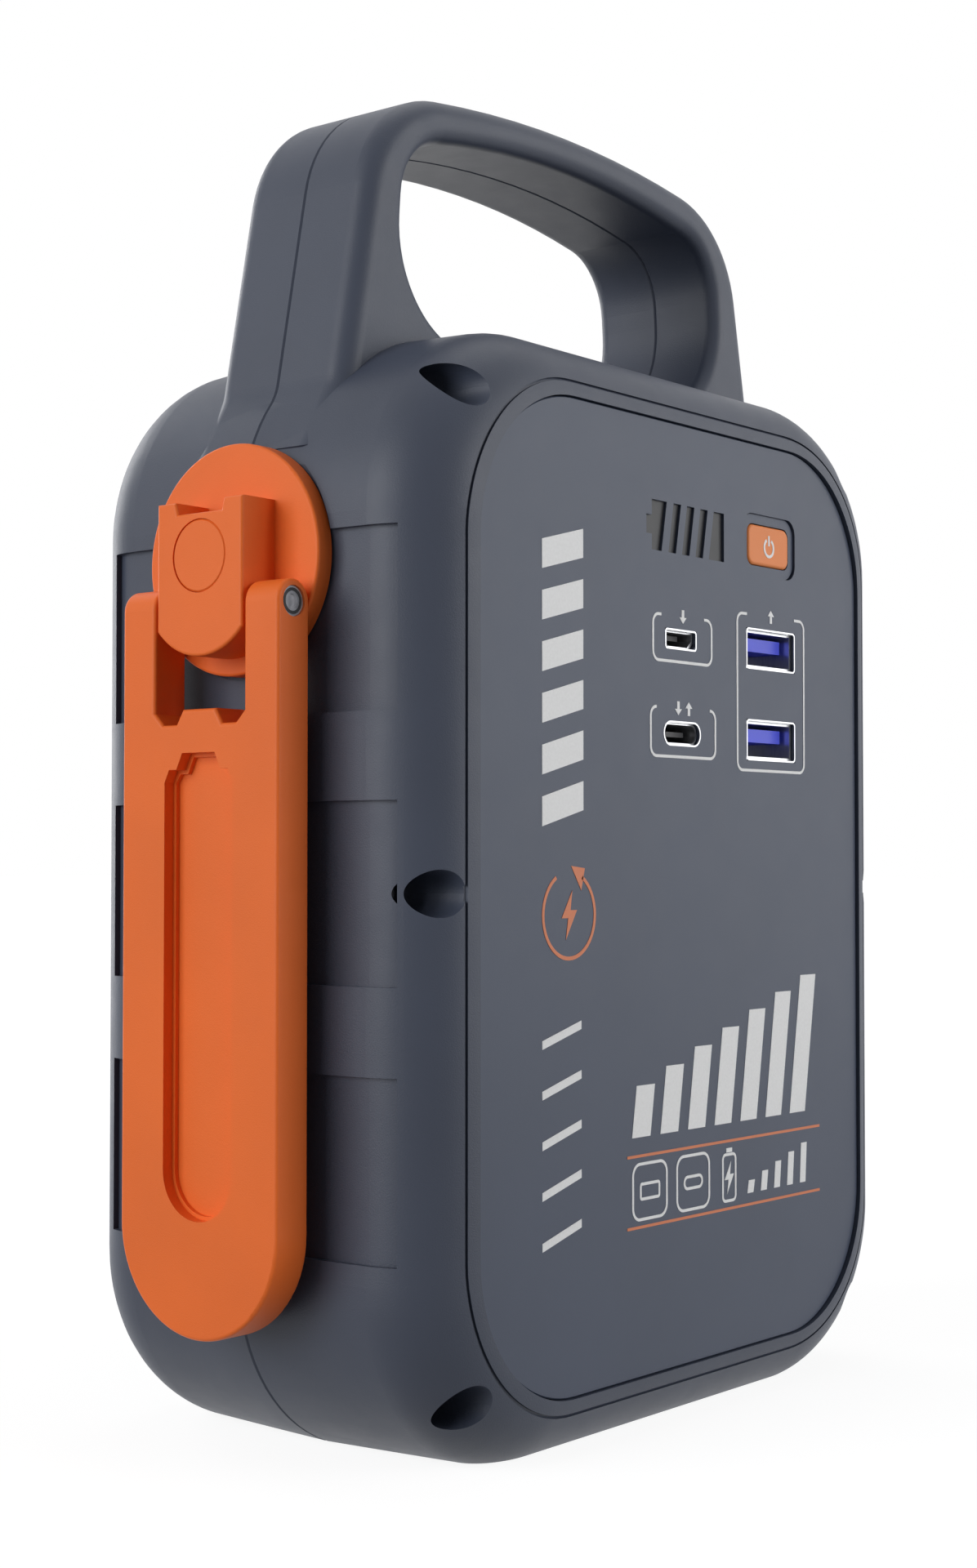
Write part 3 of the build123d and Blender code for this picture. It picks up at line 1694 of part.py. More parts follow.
with BuildPart() as rear_panel:
    extrude(panel_outline(back_plane(panel_back), -drop_in_clearance), amount=panel_thickness)
    chamfer(rear_panel.faces().sort_by(Axis.Y)[-1].edges(), panel_chamfer)
    extrude(
        lamp_outline(back_plane(panel_back), lamp_clearance),
        amount=panel_thickness,
        mode=Mode.SUBTRACT,
    )
    extrude(
        solar_outline(back_plane(panel_back), drop_in_clearance),
        amount=panel_thickness,
        mode=Mode.SUBTRACT,
    )
rear_panel.part.label = "rear_panel"
export_step(rear_panel.part, "parts/rear_panel.step")

with BuildPart() as solar_panel:
    extrude(solar_outline(back_plane(panel_back), 0), amount=solar_thickness)
solar_panel.part.label = "solar_panel"
export_step(solar_panel.part, "parts/solar_panel.step")

with BuildPart() as lamp_lens:
    extrude(
        lamp_outline(back_plane(cavity_half_depth), 0),
        amount=panel_face - cavity_half_depth,
    )
    extrude(
        lamp_outline(back_plane(cavity_half_depth), lamp_flange),
        amount=-lamp_flange_thickness,
    )
lamp_lens.part.label = "lamp_lens"
export_step(lamp_lens.part, "parts/lamp_lens.step")

with BuildPart() as lamp_reflector:
    extrude(lamp_outline(back_plane(lamp_board_y), lamp_flange), amount=reflector_depth)
    extrude(
        lamp_outline(back_plane(lamp_board_y + reflector_depth), 0),
        amount=-reflector_depth,
        taper=reflector_taper,
        mode=Mode.SUBTRACT,
    )
lamp_reflector.part.label = "lamp_reflector"
export_step(lamp_reflector.part, "parts/lamp_reflector.step")

with BuildPart() as lamp_board:
    with BuildSketch(back_plane(lamp_board_y)):
        with Locations((0, lamp_z)):
            Rectangle(2 * lamp_board_half_length, lamp_board_height)
        with Locations(*lamp_posts):
            Circle(board_screw_radius + turning_clearance, mode=Mode.SUBTRACT)
    extrude(amount=-lamp_board_thickness)
lamp_board.part.label = "lamp_board"
export_step(lamp_board.part, "parts/lamp_board.step")

with BuildPart() as lamp_leds:
    with BuildSketch(back_plane(lamp_board_y)):
        with Locations((0, lamp_z)):
            with GridLocations(lamp_led_pitch, 0, lamp_led_count, 1):
                Rectangle(lamp_led_size, lamp_led_size)
    extrude(amount=lamp_led_height)
lamp_leds.part.label = "lamp_leds"
export_step(lamp_leds.part, "parts/lamp_leds.step")

with BuildPart() as lamp_screws:
    extrude(
        discs(back_plane(lamp_board_y - lamp_board_thickness), lamp_posts, board_screw_head_radius),
        amount=-board_screw_head_height,
    )
    extrude(
        discs(back_plane(lamp_board_y - lamp_board_thickness), lamp_posts, board_screw_radius),
        amount=lamp_board_thickness + lamp_screw_bite - running_gap,
    )
lamp_screws.part.label = "lamp_screws"
export_step(lamp_screws.part, "parts/lamp_screws.step")
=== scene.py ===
import json
import math

import bmesh
import bpy
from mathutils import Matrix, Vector


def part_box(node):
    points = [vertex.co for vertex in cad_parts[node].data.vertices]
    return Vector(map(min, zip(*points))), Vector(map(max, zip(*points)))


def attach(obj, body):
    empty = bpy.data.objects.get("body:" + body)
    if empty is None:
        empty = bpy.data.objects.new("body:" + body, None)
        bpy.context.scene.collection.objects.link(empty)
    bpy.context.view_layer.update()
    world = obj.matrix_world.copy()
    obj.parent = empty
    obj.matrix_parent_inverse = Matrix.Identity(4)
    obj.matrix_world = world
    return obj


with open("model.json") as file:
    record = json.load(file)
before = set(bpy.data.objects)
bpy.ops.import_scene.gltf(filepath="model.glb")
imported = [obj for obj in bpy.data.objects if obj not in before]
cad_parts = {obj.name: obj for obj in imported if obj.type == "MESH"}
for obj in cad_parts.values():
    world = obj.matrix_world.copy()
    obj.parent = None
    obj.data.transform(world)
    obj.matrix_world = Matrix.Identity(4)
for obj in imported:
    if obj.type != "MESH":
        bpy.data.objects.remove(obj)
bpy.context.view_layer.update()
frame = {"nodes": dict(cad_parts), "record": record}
MM = 0.001

# ------------------------------------------------------------------ node helpers


def new_material(name):
    """An empty node material with its output and one Principled shader."""
    material = bpy.data.materials.new(name)
    material.use_nodes = True
    nodes = material.node_tree.nodes
    nodes.clear()
    output = nodes.new("ShaderNodeOutputMaterial")
    shader = nodes.new("ShaderNodeBsdfPrincipled")
    material.node_tree.links.new(shader.outputs["BSDF"], output.inputs["Surface"])
    return material, shader


def link(material, source, target):
    material.node_tree.links.new(source, target)


def object_coordinates(material):
    return material.node_tree.nodes.new("ShaderNodeTexCoord").outputs["Object"]


def noise(material, scale, detail=2.0, roughness=0.5):
    """Noise in metres: scale is the number of features to a metre."""
    node = material.node_tree.nodes.new("ShaderNodeTexNoise")
    node.inputs["Scale"].default_value = scale
    node.inputs["Detail"].default_value = detail
    node.inputs["Roughness"].default_value = roughness
    link(material, object_coordinates(material), node.inputs["Vector"])
    return node.outputs["Fac"]


def ramp(material, source, stops):
    """Colour ramp with (position, colour) stops."""
    node = material.node_tree.nodes.new("ShaderNodeValToRGB")
    elements = node.color_ramp.elements
    while len(elements) < len(stops):
        elements.new(0.5)
    for element, (position, colour) in zip(elements, stops):
        element.position = position
        element.color = (*colour, 1.0)
    link(material, source, node.inputs["Fac"])
    return node.outputs["Color"]


def remap(material, source, low, high):
    """Maps 0..1 to low..high."""
    node = material.node_tree.nodes.new("ShaderNodeMapRange")
    node.inputs["To Min"].default_value = low
    node.inputs["To Max"].default_value = high
    link(material, source, node.inputs["Value"])
    return node.outputs["Result"]


def bump(material, shader, height, distance, strength=1.0):
    node = material.node_tree.nodes.new("ShaderNodeBump")
    node.inputs["Strength"].default_value = strength
    node.inputs["Distance"].default_value = distance
    link(material, height, node.inputs["Height"])
    link(material, node.outputs["Normal"], shader.inputs["Normal"])


def shade(colour, factor):
    return tuple(channel * factor for channel in colour)


# ------------------------------------------------------------------ materials


def moulded_plastic(name, colour, roughness, grain, grain_depth, mottle, gleam):
    """Injection moulded plastic: spark-eroded grain, faint flow mottle and uneven gloss."""
    material, shader = new_material(name)
    shader.inputs["Specular IOR Level"].default_value = gleam
    flow = noise(material, 55, 3.0)
    stops = [(0.3, shade(colour, 1 - mottle)), (0.7, shade(colour, 1 + mottle))]
    link(material, ramp(material, flow, stops), shader.inputs["Base Color"])
    gloss = noise(material, 240, 4.0, 0.6)
    link(
        material,
        remap(material, gloss, roughness - 0.05, roughness + 0.06),
        shader.inputs["Roughness"],
    )
    bump(material, shader, noise(material, grain, 2.0, 0.65), grain_depth)
    return material


def metal(name, colour, roughness, brush):
    """Metal with fine machining or rolling marks along one direction."""
    material, shader = new_material(name)
    nodes = material.node_tree.nodes
    mapping = nodes.new("ShaderNodeMapping")
    mapping.inputs["Scale"].default_value = brush
    link(material, object_coordinates(material), mapping.inputs["Vector"])
    marks = nodes.new("ShaderNodeTexNoise")
    marks.inputs["Scale"].default_value = 1.0
    marks.inputs["Detail"].default_value = 3.0
    link(material, mapping.outputs["Vector"], marks.inputs["Vector"])
    stops = [(0.3, shade(colour, 0.9)), (0.7, shade(colour, 1.06))]
    link(material, ramp(material, marks.outputs["Fac"], stops), shader.inputs["Base Color"])
    link(
        material,
        remap(material, marks.outputs["Fac"], roughness - 0.06, roughness + 0.08),
        shader.inputs["Roughness"],
    )
    shader.inputs["Metallic"].default_value = 1.0
    bump(material, shader, marks.outputs["Fac"], 0.00001, 0.5)
    return material


def printed_ink(name, colour):
    """Screen-printed ink, a little uneven in cover."""
    material, shader = new_material(name)
    cover = noise(material, 2500, 2.0)
    stops = [(0.25, shade(colour, 0.93)), (0.75, colour)]
    link(material, ramp(material, cover, stops), shader.inputs["Base Color"])
    link(material, remap(material, cover, 0.42, 0.55), shader.inputs["Roughness"])
    bump(material, shader, cover, 0.00001, 0.4)
    return material


FINGER_PITCH = 2.2 * MM
FINGER_WIDTH = 0.16 * MM
BUS_PITCH = 20.0 * MM
BUS_WIDTH = 0.9 * MM
PATTERN_SHIFT = 10  # whole pitches, which keep the wrapped coordinate above zero


def solar_cell_material():
    """Dark cells under resin, crossed by fine silver lines and wider bus bars."""
    material, shader = new_material("solar_cells")
    nodes = material.node_tree.nodes
    separate = nodes.new("ShaderNodeSeparateXYZ")
    link(material, object_coordinates(material), separate.inputs["Vector"])

    def line(axis, pitch, width, offset=0.0):
        """1 on lines of a pitch and width along one axis, else 0."""
        shift = nodes.new("ShaderNodeMath")
        shift.operation = "ADD"
        shift.inputs[1].default_value = PATTERN_SHIFT * pitch + offset
        link(material, separate.outputs[axis], shift.inputs[0])
        wrap = nodes.new("ShaderNodeMath")
        wrap.operation = "MODULO"
        wrap.inputs[1].default_value = pitch
        link(material, shift.outputs[0], wrap.inputs[0])
        below = nodes.new("ShaderNodeMath")
        below.operation = "LESS_THAN"
        below.inputs[1].default_value = width
        link(material, wrap.outputs[0], below.inputs[0])
        return below.outputs[0]

    def either(first, second):
        node = nodes.new("ShaderNodeMath")
        node.operation = "MAXIMUM"
        link(material, first, node.inputs[0])
        link(material, second, node.inputs[1])
        return node.outputs[0]

    fingers = line("Z", FINGER_PITCH, FINGER_WIDTH)
    bars = line("X", BUS_PITCH, BUS_WIDTH, BUS_WIDTH / 2)
    metal_lines = either(fingers, bars)
    bus_or_finger = nodes.new("ShaderNodeMix")
    bus_or_finger.data_type = "RGBA"
    bus_or_finger.inputs["A"].default_value = (0.055, 0.06, 0.075, 1)
    bus_or_finger.inputs["B"].default_value = (0.3, 0.31, 0.33, 1)
    link(material, bars, bus_or_finger.inputs["Factor"])
    crystal = ramp(
        material,
        noise(material, 130, 4.0, 0.7),
        [(0.3, (0.006, 0.008, 0.02)), (0.7, (0.016, 0.022, 0.055))],
    )
    mix = nodes.new("ShaderNodeMix")
    mix.data_type = "RGBA"
    link(material, bus_or_finger.outputs["Result"], mix.inputs["B"])
    link(material, metal_lines, mix.inputs["Factor"])
    link(material, crystal, mix.inputs["A"])
    link(material, mix.outputs["Result"], shader.inputs["Base Color"])
    link(material, remap(material, metal_lines, 0.28, 0.4), shader.inputs["Roughness"])
    shader.inputs["Coat Weight"].default_value = 0.6
    shader.inputs["Coat Roughness"].default_value = 0.12
    return material


def clear_lens_material():
    """Clear moulded lens with faint vertical flutes."""
    material, shader = new_material("clear_lens")
    nodes = material.node_tree.nodes
    wave = nodes.new("ShaderNodeTexWave")
    wave.bands_direction = "X"
    wave.inputs["Scale"].default_value = 160
    link(material, object_coordinates(material), wave.inputs["Vector"])
    stops = [(0.2, (0.8, 0.84, 0.88)), (0.8, (0.92, 0.94, 0.96))]
    link(material, ramp(material, wave.outputs["Fac"], stops), shader.inputs["Base Color"])
    link(material, remap(material, wave.outputs["Fac"], 0.08, 0.2), shader.inputs["Roughness"])
    shader.inputs["Transmission Weight"].default_value = 0.75
    shader.inputs["IOR"].default_value = 1.49
    bump(material, shader, wave.outputs["Fac"], 0.0002, 0.6)
    return material


SLATE = (0.048, 0.058, 0.087)
PANEL_SLATE = (0.053, 0.067, 0.106)
ORANGE = (0.88, 0.166, 0.024)
BUTTON_ORANGE = (0.90, 0.28, 0.085)
TONGUE_BLUE = (0.028, 0.05, 0.75)
SMOKED = (0.030, 0.031, 0.034)
WHITE_INK = (0.93, 0.935, 0.94)
ORANGE_INK = (0.70, 0.20, 0.075)

# Colour, roughness, grains to a metre, grain depth in metres, share of mottle, level of gleam
PLASTICS = {
    "case_plastic": (SLATE, 0.44, 5200, 0.00003, 0.06, 0.35),
    "panel_plastic": (PANEL_SLATE, 0.38, 9000, 0.000012, 0.04, 0.32),
    "crank_plastic": (ORANGE, 0.46, 5600, 0.00003, 0.04, 0.28),
    "button_plastic": (BUTTON_ORANGE, 0.42, 7000, 0.00001, 0.03, 0.25),
    "black_plastic": ((0.012, 0.012, 0.014), 0.45, 5000, 0.00001, 0.06, 0.5),
    "holder_plastic": ((0.03, 0.03, 0.033), 0.5, 4000, 0.00002, 0.06, 0.5),
    "blue_plastic": (TONGUE_BLUE, 0.35, 6000, 0.00001, 0.05, 0.5),
    "window_plastic": (SMOKED, 0.4, 7000, 0.000008, 0.06, 0.3),
    "magnet": ((0.05, 0.05, 0.055), 0.6, 3000, 0.00002, 0.06, 0.5),
    "nylon": ((0.74, 0.73, 0.69), 0.5, 4000, 0.00001, 0.03, 0.5),
    "board_laminate": ((0.015, 0.10, 0.045), 0.3, 3000, 0.00001, 0.06, 0.5),
    "cell_wrap": ((0.04, 0.17, 0.45), 0.25, 1500, 0.00001, 0.06, 0.5),
    "led_resin": ((0.82, 0.80, 0.55), 0.25, 4000, 0.00001, 0.03, 0.5),
}

# Colour, roughness, marks to a metre along each axis
METALS = {
    "port_steel": ((0.62, 0.63, 0.65), 0.3, (600.0, 4000.0, 600.0)),
    "steel": ((0.42, 0.42, 0.44), 0.32, (1500.0, 1500.0, 1500.0)),
    "brass": ((0.62, 0.44, 0.18), 0.3, (1500.0, 1500.0, 1500.0)),
    "nickel": ((0.62, 0.60, 0.56), 0.3, (3000.0, 400.0, 3000.0)),
    "reflector_coat": ((0.85, 0.85, 0.86), 0.15, (800.0, 800.0, 800.0)),
}

materials = {name: moulded_plastic(name, *look) for name, look in PLASTICS.items()}
materials.update({name: metal(name, *look) for name, look in METALS.items()})
materials["clear_lens"] = clear_lens_material()
materials["solar_cells"] = solar_cell_material()
materials["white_ink"] = printed_ink("white_ink", WHITE_INK)
materials["orange_ink"] = printed_ink("orange_ink", ORANGE_INK)

for subpart in frame["record"]["subparts"]:
    mesh = frame["nodes"][subpart["node"]].data
    mesh.materials.clear()
    mesh.materials.append(materials[subpart["material_slot"]])

# ------------------------------------------------------------------ prints on the front panel

PANEL_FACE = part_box("front_panel")[0][1]
INK = 0.05 * MM


def print_piece(name, shapes, face, material, body, depth=INK):
    """Shapes that stand on a face that looks forward, thin as ink unless a depth is given.

    Each shape is a loop of (x, z) in mm.
    """
    mesh = bpy.data.meshes.new(name)
    shape_mesh = bmesh.new()
    for shape in shapes:
        front = [shape_mesh.verts.new((x * MM, face - depth, z * MM)) for x, z in shape]
        back = [shape_mesh.verts.new((x * MM, face, z * MM)) for x, z in shape]
        shape_mesh.faces.new(front)
        for i in range(len(shape)):
            j = (i + 1) % len(shape)
            shape_mesh.faces.new((front[i], back[i], back[j], front[j]))
    bmesh.ops.recalc_face_normals(shape_mesh, faces=shape_mesh.faces)
    shape_mesh.to_mesh(mesh)
    shape_mesh.free()
    mesh.materials.append(material)
    piece = bpy.data.objects.new(name, mesh)
    bpy.context.scene.collection.objects.link(piece)
    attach(piece, body)
    return piece


def arc(x, z, radius, start, end, steps=8):
    """Points on an arc, angles in degrees."""
    return [
        (
            x + radius * math.cos(math.radians(start + (end - start) * i / steps)),
            z + radius * math.sin(math.radians(start + (end - start) * i / steps)),
        )
        for i in range(steps + 1)
    ]


def ribbon(points, width, closed=False):
    """Loops of four points that draw a line of one width along points."""
    count = len(points)
    sides = []
    for i, point in enumerate(points):
        before = points[i - 1] if closed or i else point
        after = points[(i + 1) % count] if closed or i < count - 1 else point
        along = Vector((after[0] - before[0], after[1] - before[1])).normalized()
        across = Vector((-along.y, along.x)) * width / 2
        sides.append(
            ((point[0] + across.x, point[1] + across.y), (point[0] - across.x, point[1] - across.y))
        )
    pairs = range(count if closed else count - 1)
    return [
        [sides[i][0], sides[(i + 1) % count][0], sides[(i + 1) % count][1], sides[i][1]]
        for i in pairs
    ]


def gapped_frame(left, right, low, high, corner, gap_left, gap_right):
    """Rounded frame whose top line has a gap."""
    return [
        (gap_left, high),
        *arc(left + corner, high - corner, corner, 90, 180),
        *arc(left + corner, low + corner, corner, 180, 270),
        *arc(right - corner, low + corner, corner, 270, 360),
        *arc(right - corner, high - corner, corner, 0, 90),
        (gap_right, high),
    ]


def rounded_frame(left, right, low, high, corner):
    """Closed rounded rectangle."""
    return [
        *arc(left + corner, high - corner, corner, 90, 180),
        *arc(left + corner, low + corner, corner, 180, 270),
        *arc(right - corner, low + corner, corner, 270, 360),
        *arc(right - corner, high - corner, corner, 0, 90),
    ]


ARROW_HEAD = 0.45
ARROW_STEM = 0.16


def arrow(x, z, height, turned=False):
    """Small solid arrow, pointing down or turned up."""
    way = 1 if turned else -1
    head = height * ARROW_HEAD
    stem = height * ARROW_STEM
    return [
        (x, z + way * height / 2),
        (x - head, z + way * (height / 2 - head)),
        (x - stem, z + way * (height / 2 - head)),
        (x - stem, z - way * height / 2),
        (x + stem, z - way * height / 2),
        (x + stem, z + way * (height / 2 - head)),
        (x + head, z + way * (height / 2 - head)),
    ]


def bolt(x, z, height):
    """Lightning bolt, pointing down."""
    corners = ((0.1, 0.5), (-0.26, -0.06), (-0.04, -0.06), (-0.12, -0.5), (0.26, 0.1), (0.04, 0.1))
    return [(x + u * height, z + v * height) for u, v in corners]


def slanted(left, right, low, high, lean):
    """Upright bar whose top leans to the right."""
    return [(left, low), (right, low), (right + lean, high), (left + lean, high)]


# All places of the prints are in mm. Frames round the sockets: left, right, low and high side,
# then the gap in the top line
LINE = 0.4
FRAME_CORNER = 1.3
SOCKET_FRAMES = (
    (-8.4, 6.1, 104.0, 110.3, -6.4, 4.2),
    (-9.0, 7.0, 90.9, 97.6, -7.6, 5.6),
    (12.8, 31.1, 89.6, 112.1, 15.4, 28.4),
)
ARROW = 1.9
white = []
for left, right, low, high, gap_left, gap_right in SOCKET_FRAMES:
    outline = gapped_frame(left, right, low, high, FRAME_CORNER, gap_left, gap_right)
    white += ribbon(outline, LINE)
for x, z, turned in ((-1.1, 110.3, False), (-2.3, 97.6, False), (0.3, 97.6, True), (21.9, 112.1, True)):
    white += [arrow(x, z, ARROW, turned)]

# A column of leaning bars, bold above and fine below: right side, first height, pitch, thickness, count
COLUMN_LEFT = -33.4
COLUMN_LEAN = 2.2
for right, first, pitch, thickness, count in ((-24.5, 81.0, 6.6, 3.8, 6), (-25.0, 27.0, 6.4, 1.1, 5)):
    for i in range(count):
        base = first + pitch * i
        white += [
            [
                (COLUMN_LEFT, base),
                (right, base + COLUMN_LEAN),
                (right, base + COLUMN_LEAN + thickness),
                (COLUMN_LEFT, base + thickness),
            ]
        ]

# A block of broad bars that grow to the right
BLOCK_LEFT = -13.6
BLOCK_LOW = 39.6
BLOCK_FIRST_TOP = 46.5
BLOCK_PITCH = 6.7
BLOCK_BAR = 4.3
BLOCK_GROWTH = 2.2
BLOCK_LEAN = 1.1
BLOCK_LEAN_GROWTH = 0.35
for i in range(7):
    left = BLOCK_LEFT + BLOCK_PITCH * i
    top = BLOCK_FIRST_TOP + BLOCK_GROWTH * i
    lean = BLOCK_LEAN + BLOCK_LEAN_GROWTH * i
    white += [slanted(left, left + BLOCK_BAR, BLOCK_LOW, top, lean)]

# Row of small signs between the two rules: two socket signs, a cell with a bolt, small rising bars
SIGN_OUTLINES = (
    (-13.4, -5.4, 28.6, 36.0, 1.6),
    (-2.9, 5.1, 28.6, 36.0, 1.6),
    (-11.6, -7.2, 31.3, 33.3, 0.3),
    (-1.1, 3.3, 31.5, 33.1, 0.79),
    (8.6, 11.9, 28.7, 35.2, 0.7),
)
for outline in SIGN_OUTLINES:
    white += ribbon(rounded_frame(*outline), LINE, closed=True)
white += [bolt(10.25, 31.95, 4.6), [(9.5, 35.5), (11.0, 35.5), (11.0, 36.1), (9.5, 36.1)]]
SMALL_BAR_LEFT = 15.0
SMALL_BAR = 1.6
SMALL_BAR_PITCH = 3.6
for i in range(5):
    left = SMALL_BAR_LEFT + SMALL_BAR_PITCH * i
    white += [slanted(left, left + SMALL_BAR, 29.2, 31.0 + i, 0.4)]
print_piece("panel_print_white", white, PANEL_FACE, materials["white_ink"], "root")

# The two rules, and the sign of a turning arrow round a bolt
RULE_LEFT, RULE_RIGHT = -14.7, 35.1
RULE_HALF_WIDTH = 0.19
orange = []
for z in (27.6, 37.1):
    low, high = z - RULE_HALF_WIDTH, z + RULE_HALF_WIDTH
    orange += [[(RULE_LEFT, low), (RULE_RIGHT, low), (RULE_RIGHT, high), (RULE_LEFT, high)]]
TURN_X, TURN_Z, TURN_RADIUS = -27.6, 69.6, 5.6
TURN_START, TURN_END = 60, -240
TURN_LINE = 0.5
turn = arc(TURN_X, TURN_Z, TURN_RADIUS, TURN_START, TURN_END, 40)
orange += ribbon(turn, TURN_LINE)
orange += [[(turn[0][0] + a, turn[0][1] + b) for a, b in ((-2.4, 1.5), (0.6, 1.2), (-0.2, -1.7))]]
orange += [bolt(TURN_X, TURN_Z, 6.4)]
print_piece("panel_print_orange", orange, PANEL_FACE, materials["orange_ink"], "root")

# Pale rims round the sockets, on the panel's face: middle, width, height and corner
RIM = 0.24
SOCKETS = (
    (21.9, 107.2, 13.1, 5.7, 0.5),
    (21.9, 94.0, 13.1, 5.7, 0.5),
    (-1.3, 94.1, 8.94, 3.2, 1.59),
    (-1.6, 107.1, 7.5, 2.6, 0.4),
)
rims = []
for x, z, width, height, corner in SOCKETS:
    outline = rounded_frame(x - width / 2, x + width / 2, z - height / 2, z + height / 2, corner)
    rims += ribbon(outline, RIM, closed=True)
print_piece("socket_rims", rims, PANEL_FACE, materials["port_steel"], "root")

# Shallow sill between the panel and the button
SILL = 1.4
SILL_SETBACK = 0.35 * MM
SILL_DEPTH = 0.6 * MM
SILL_MIDDLE_LINE = (15.35, 28.05, 118.65, 126.15, 2.1)
sill = ribbon(rounded_frame(*SILL_MIDDLE_LINE), SILL, closed=True)
SILL_BACK = PANEL_FACE + SILL_SETBACK + SILL_DEPTH
print_piece("button_sill", sill, SILL_BACK, materials["panel_plastic"], "root", SILL_DEPTH)

# Light guides of the gauge, from the window to just under the panel's face
GAUGE_SETBACK = 0.4 * MM
GAUGE_LOW, GAUGE_HIGH = 118.95, 125.85
GAUGE_LEAN = 1.3
GAUGE_BAR = 1.85
NUB_LEFT, NUB_LOW, NUB_HIGH = -9.9, 121.1, 123.7
FIRST_LEFT, FIRST_RIGHT = -8.6, -4.95
LAST_LEFT, LAST_RIGHT = 6.81, 9.45
guides = [
    [
        (FIRST_LEFT, GAUGE_HIGH),
        (FIRST_LEFT, NUB_HIGH),
        (NUB_LEFT, NUB_HIGH),
        (NUB_LEFT, NUB_LOW),
        (FIRST_LEFT, NUB_LOW),
        (FIRST_LEFT, GAUGE_LOW),
        (FIRST_RIGHT - GAUGE_LEAN, GAUGE_LOW),
        (FIRST_RIGHT, GAUGE_HIGH),
    ],
    [
        (LAST_LEFT, GAUGE_HIGH),
        (LAST_LEFT - GAUGE_LEAN, GAUGE_LOW),
        (LAST_RIGHT, GAUGE_LOW),
        (LAST_RIGHT, GAUGE_HIGH),
    ],
]
for left in (-3.3, 0.05, 3.42):
    right = left + GAUGE_BAR
    guides += [
        [
            (left, GAUGE_HIGH),
            (left - GAUGE_LEAN, GAUGE_LOW),
            (right - GAUGE_LEAN, GAUGE_LOW),
            (right, GAUGE_HIGH),
        ]
    ]
WINDOW_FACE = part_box("battery_window")[0][1]
guide_depth = WINDOW_FACE - PANEL_FACE - GAUGE_SETBACK
guide_material = materials["window_plastic"]
print_piece("gauge_guides", guides, WINDOW_FACE, guide_material, "root", guide_depth)

# Painted groove shade: a flat black ring on the hinge pin's end stands in for the shade in a turned
# groove that is not modelled
PIN_LOW, PIN_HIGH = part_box("hinge_pin")
pin_x = (PIN_LOW[0] + PIN_HIGH[0]) / 2 / MM
pin_z = (PIN_LOW[2] + PIN_HIGH[2]) / 2 / MM
PIN_SHADE_RING_RADIUS = 1.45
PIN_SHADE_RING_WIDTH = 0.4
# Black ring of painted shade, not a real groove in the steel pin
painted_groove_ring = ribbon(arc(pin_x, pin_z, PIN_SHADE_RING_RADIUS, 0, 345, 23), PIN_SHADE_RING_WIDTH, closed=True)
print_piece("pin_groove_painted_shade", painted_groove_ring, PIN_LOW[1], materials["black_plastic"], "crank_hub")

# Power sign on the button
BUTTON_LOW, BUTTON_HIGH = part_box("power_button")
SIGN_RADIUS = 1.25
SIGN_LINE = 0.42
sign_x = (BUTTON_LOW[0] + BUTTON_HIGH[0]) / 2 / MM
sign_z = (BUTTON_LOW[2] + BUTTON_HIGH[2]) / 2 / MM
sign = ribbon(arc(sign_x, sign_z - 0.2, SIGN_RADIUS, 120, 420, 28), SIGN_LINE)
sign += ribbon([(sign_x, sign_z + 0.1), (sign_x, sign_z + 1.6)], SIGN_LINE)
print_piece("power_sign", sign, BUTTON_LOW[1], materials["white_ink"], "power_button")

# ------------------------------------------------------------------ floor, light and camera

FLOOR_REACH = 8.0
FLOOR_GREY = 0.25
FLOOR_GLOW = 0.88
FADE_START = 0.25
FADE_END = 1.1


def seen_or_mirrored(tree):
    """1 for camera, glossy and transmission rays, else 0."""
    path = tree.nodes.new("ShaderNodeLightPath")
    seen = path.outputs["Is Camera Ray"]
    for kind in ("Is Glossy Ray", "Is Transmission Ray"):
        either = tree.nodes.new("ShaderNodeMath")
        either.operation = "MAXIMUM"
        tree.links.new(seen, either.inputs[0])
        tree.links.new(path.outputs[kind], either.inputs[1])
        seen = either.outputs[0]
    return seen


def floor_material():
    """Pale matte floor that fades to white away from the part, seen straight or mirrored."""
    material = bpy.data.materials.new("floor")
    material.use_nodes = True
    nodes = material.node_tree.nodes
    nodes.clear()
    output = nodes.new("ShaderNodeOutputMaterial")
    matte = nodes.new("ShaderNodeBsdfDiffuse")
    matte.inputs["Color"].default_value = (FLOOR_GREY, FLOOR_GREY, FLOOR_GREY, 1)
    distance = nodes.new("ShaderNodeVectorMath")
    distance.operation = "LENGTH"
    link(material, object_coordinates(material), distance.inputs[0])
    fade = nodes.new("ShaderNodeMapRange")
    fade.inputs["From Min"].default_value = FADE_START
    fade.inputs["From Max"].default_value = FADE_END
    fade.inputs["To Min"].default_value = FLOOR_GLOW
    fade.inputs["To Max"].default_value = 1.0
    link(material, distance.outputs["Value"], fade.inputs["Value"])
    strength = nodes.new("ShaderNodeMath")
    strength.operation = "MULTIPLY"
    link(material, seen_or_mirrored(material.node_tree), strength.inputs[0])
    link(material, fade.outputs["Result"], strength.inputs[1])
    emission = nodes.new("ShaderNodeEmission")
    link(material, strength.outputs[0], emission.inputs["Strength"])
    add = nodes.new("ShaderNodeAddShader")
    link(material, matte.outputs[0], add.inputs[0])
    link(material, emission.outputs[0], add.inputs[1])
    link(material, add.outputs[0], output.inputs["Surface"])
    return material


def add_floor():
    mesh = bpy.data.meshes.new("floor")
    sides = ((-1, -1), (1, -1), (1, 1), (-1, 1))
    corners = [(x * FLOOR_REACH, y * FLOOR_REACH, 0) for x, y in sides]
    mesh.from_pydata(corners, [], [(0, 1, 2, 3)])
    mesh.materials.append(floor_material())
    floor = bpy.data.objects.new("floor", mesh)
    bpy.context.scene.collection.objects.link(floor)


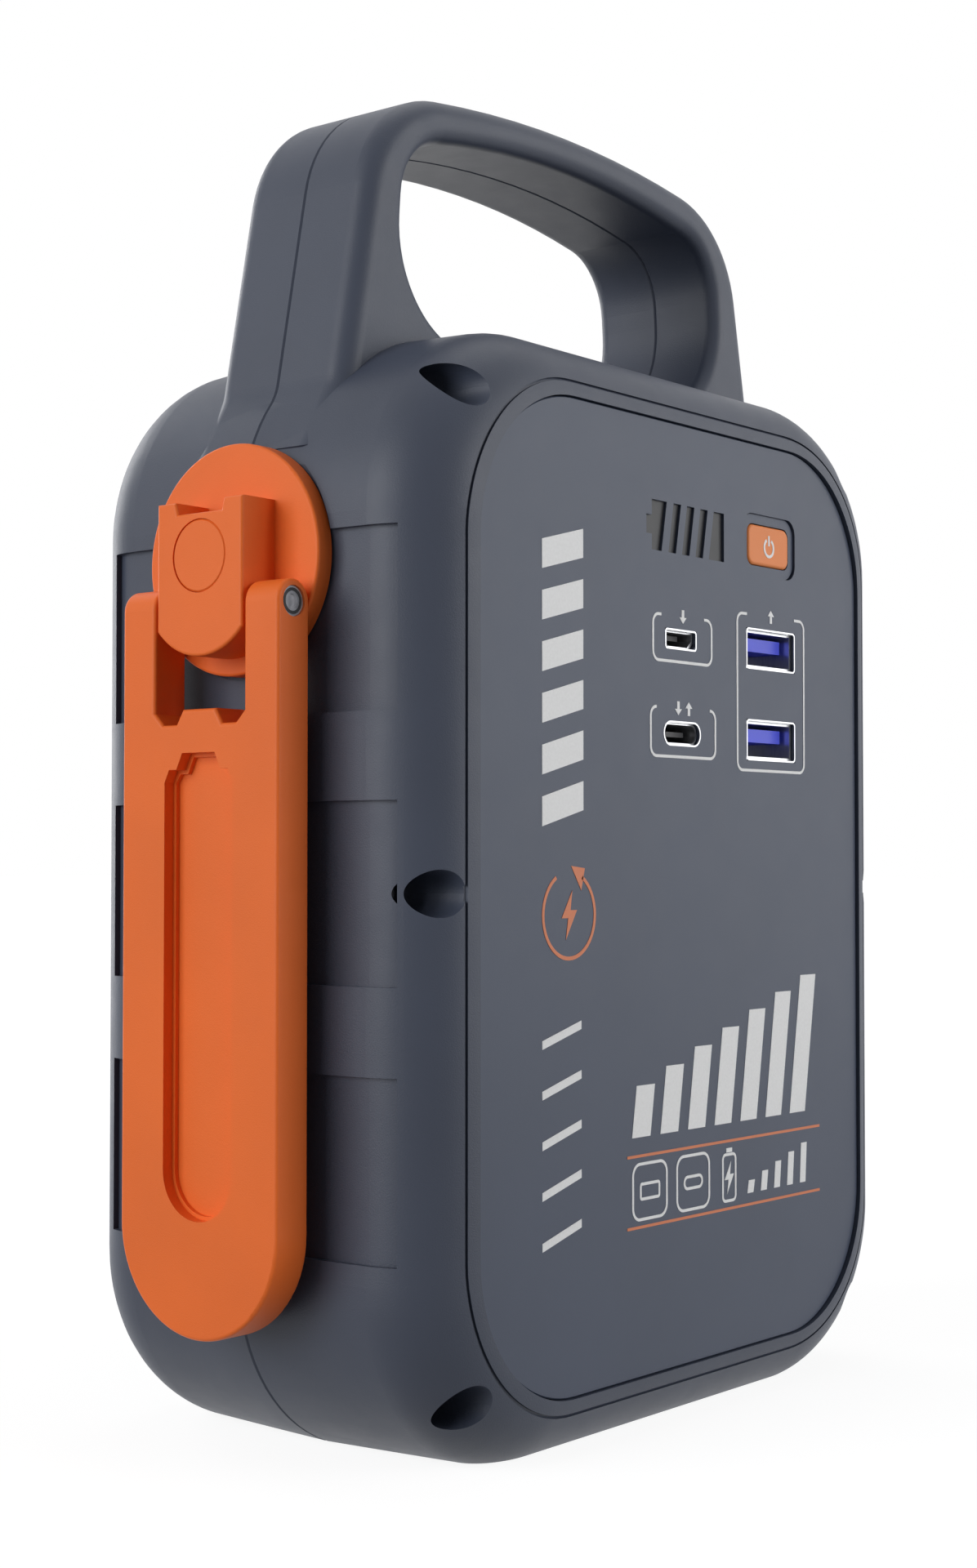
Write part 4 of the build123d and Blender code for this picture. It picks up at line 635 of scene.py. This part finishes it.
def add_world(fill):
    """White for the camera, for gloss and for glass; a softer fill for everything else."""
    world = bpy.data.worlds.new("studio")
    bpy.context.scene.world = world
    world.use_nodes = True
    nodes = world.node_tree.nodes
    links = world.node_tree.links
    nodes.clear()
    output = nodes.new("ShaderNodeOutputWorld")
    level = nodes.new("ShaderNodeMapRange")
    level.inputs["To Min"].default_value = fill
    level.inputs["To Max"].default_value = 1.0
    links.new(seen_or_mirrored(world.node_tree), level.inputs["Value"])
    background = nodes.new("ShaderNodeBackground")
    background.inputs["Color"].default_value = (1, 1, 1, 1)
    links.new(level.outputs["Result"], background.inputs["Strength"])
    links.new(background.outputs["Background"], output.inputs["Surface"])


def add_area(name, place, size, power):
    """Soft box at place, turned to the middle of the part."""
    lamp = bpy.data.lights.new(name, "AREA")
    lamp.shape = "RECTANGLE"
    lamp.size, lamp.size_y = size
    lamp.energy = power
    light = bpy.data.objects.new(name, lamp)
    light.location = place
    aim = Vector(MIDDLE) - Vector(place)
    light.rotation_euler = aim.to_track_quat("-Z", "Y").to_euler()
    bpy.context.scene.collection.objects.link(light)


WORLD_FILL = 0.14
MIDDLE = (0.0, 0.0, 0.09)

# Place, width and height in metres, power in watts
LIGHTS = {
    "key_left": ((-1.15, 0.35, 0.4), (0.8, 0.9), 10.5),
    "front": ((0.45, -1.3, 0.4), (0.7, 0.7), 7.0),
    "front_right": ((0.85, -0.8, 0.2), (0.8, 1.4), 5.0),
    "rim_back": ((0.15, 1.0, 0.3), (0.4, 0.9), 3.5),
    "top": ((0.3, 0.1, 1.1), (0.7, 0.5), 1.0),
}

add_floor()
add_world(WORLD_FILL)
for name, light in LIGHTS.items():
    add_area(name, *light)

CAMERA_PLACE = Vector((-274.5, -213.3, 76.8)) * MM
CAMERA_YAW = 51.587
CAMERA_PITCH = 1.817
CAMERA_LENS = 54.51

camera_data = bpy.data.cameras.new("camera")
camera_data.lens = CAMERA_LENS
camera_data.sensor_width = 36.0
camera_data.clip_start = 0.01
camera = bpy.data.objects.new("camera", camera_data)
camera.location = CAMERA_PLACE
yaw = math.radians(CAMERA_YAW)
pitch = math.radians(CAMERA_PITCH)
look = Vector((math.sin(yaw) * math.cos(pitch), math.cos(yaw) * math.cos(pitch), math.sin(pitch)))
camera.rotation_euler = look.to_track_quat("-Z", "Y").to_euler()
bpy.context.scene.collection.objects.link(camera)
bpy.context.scene.camera = camera
bpy.context.scene.view_settings.view_transform = "Standard"
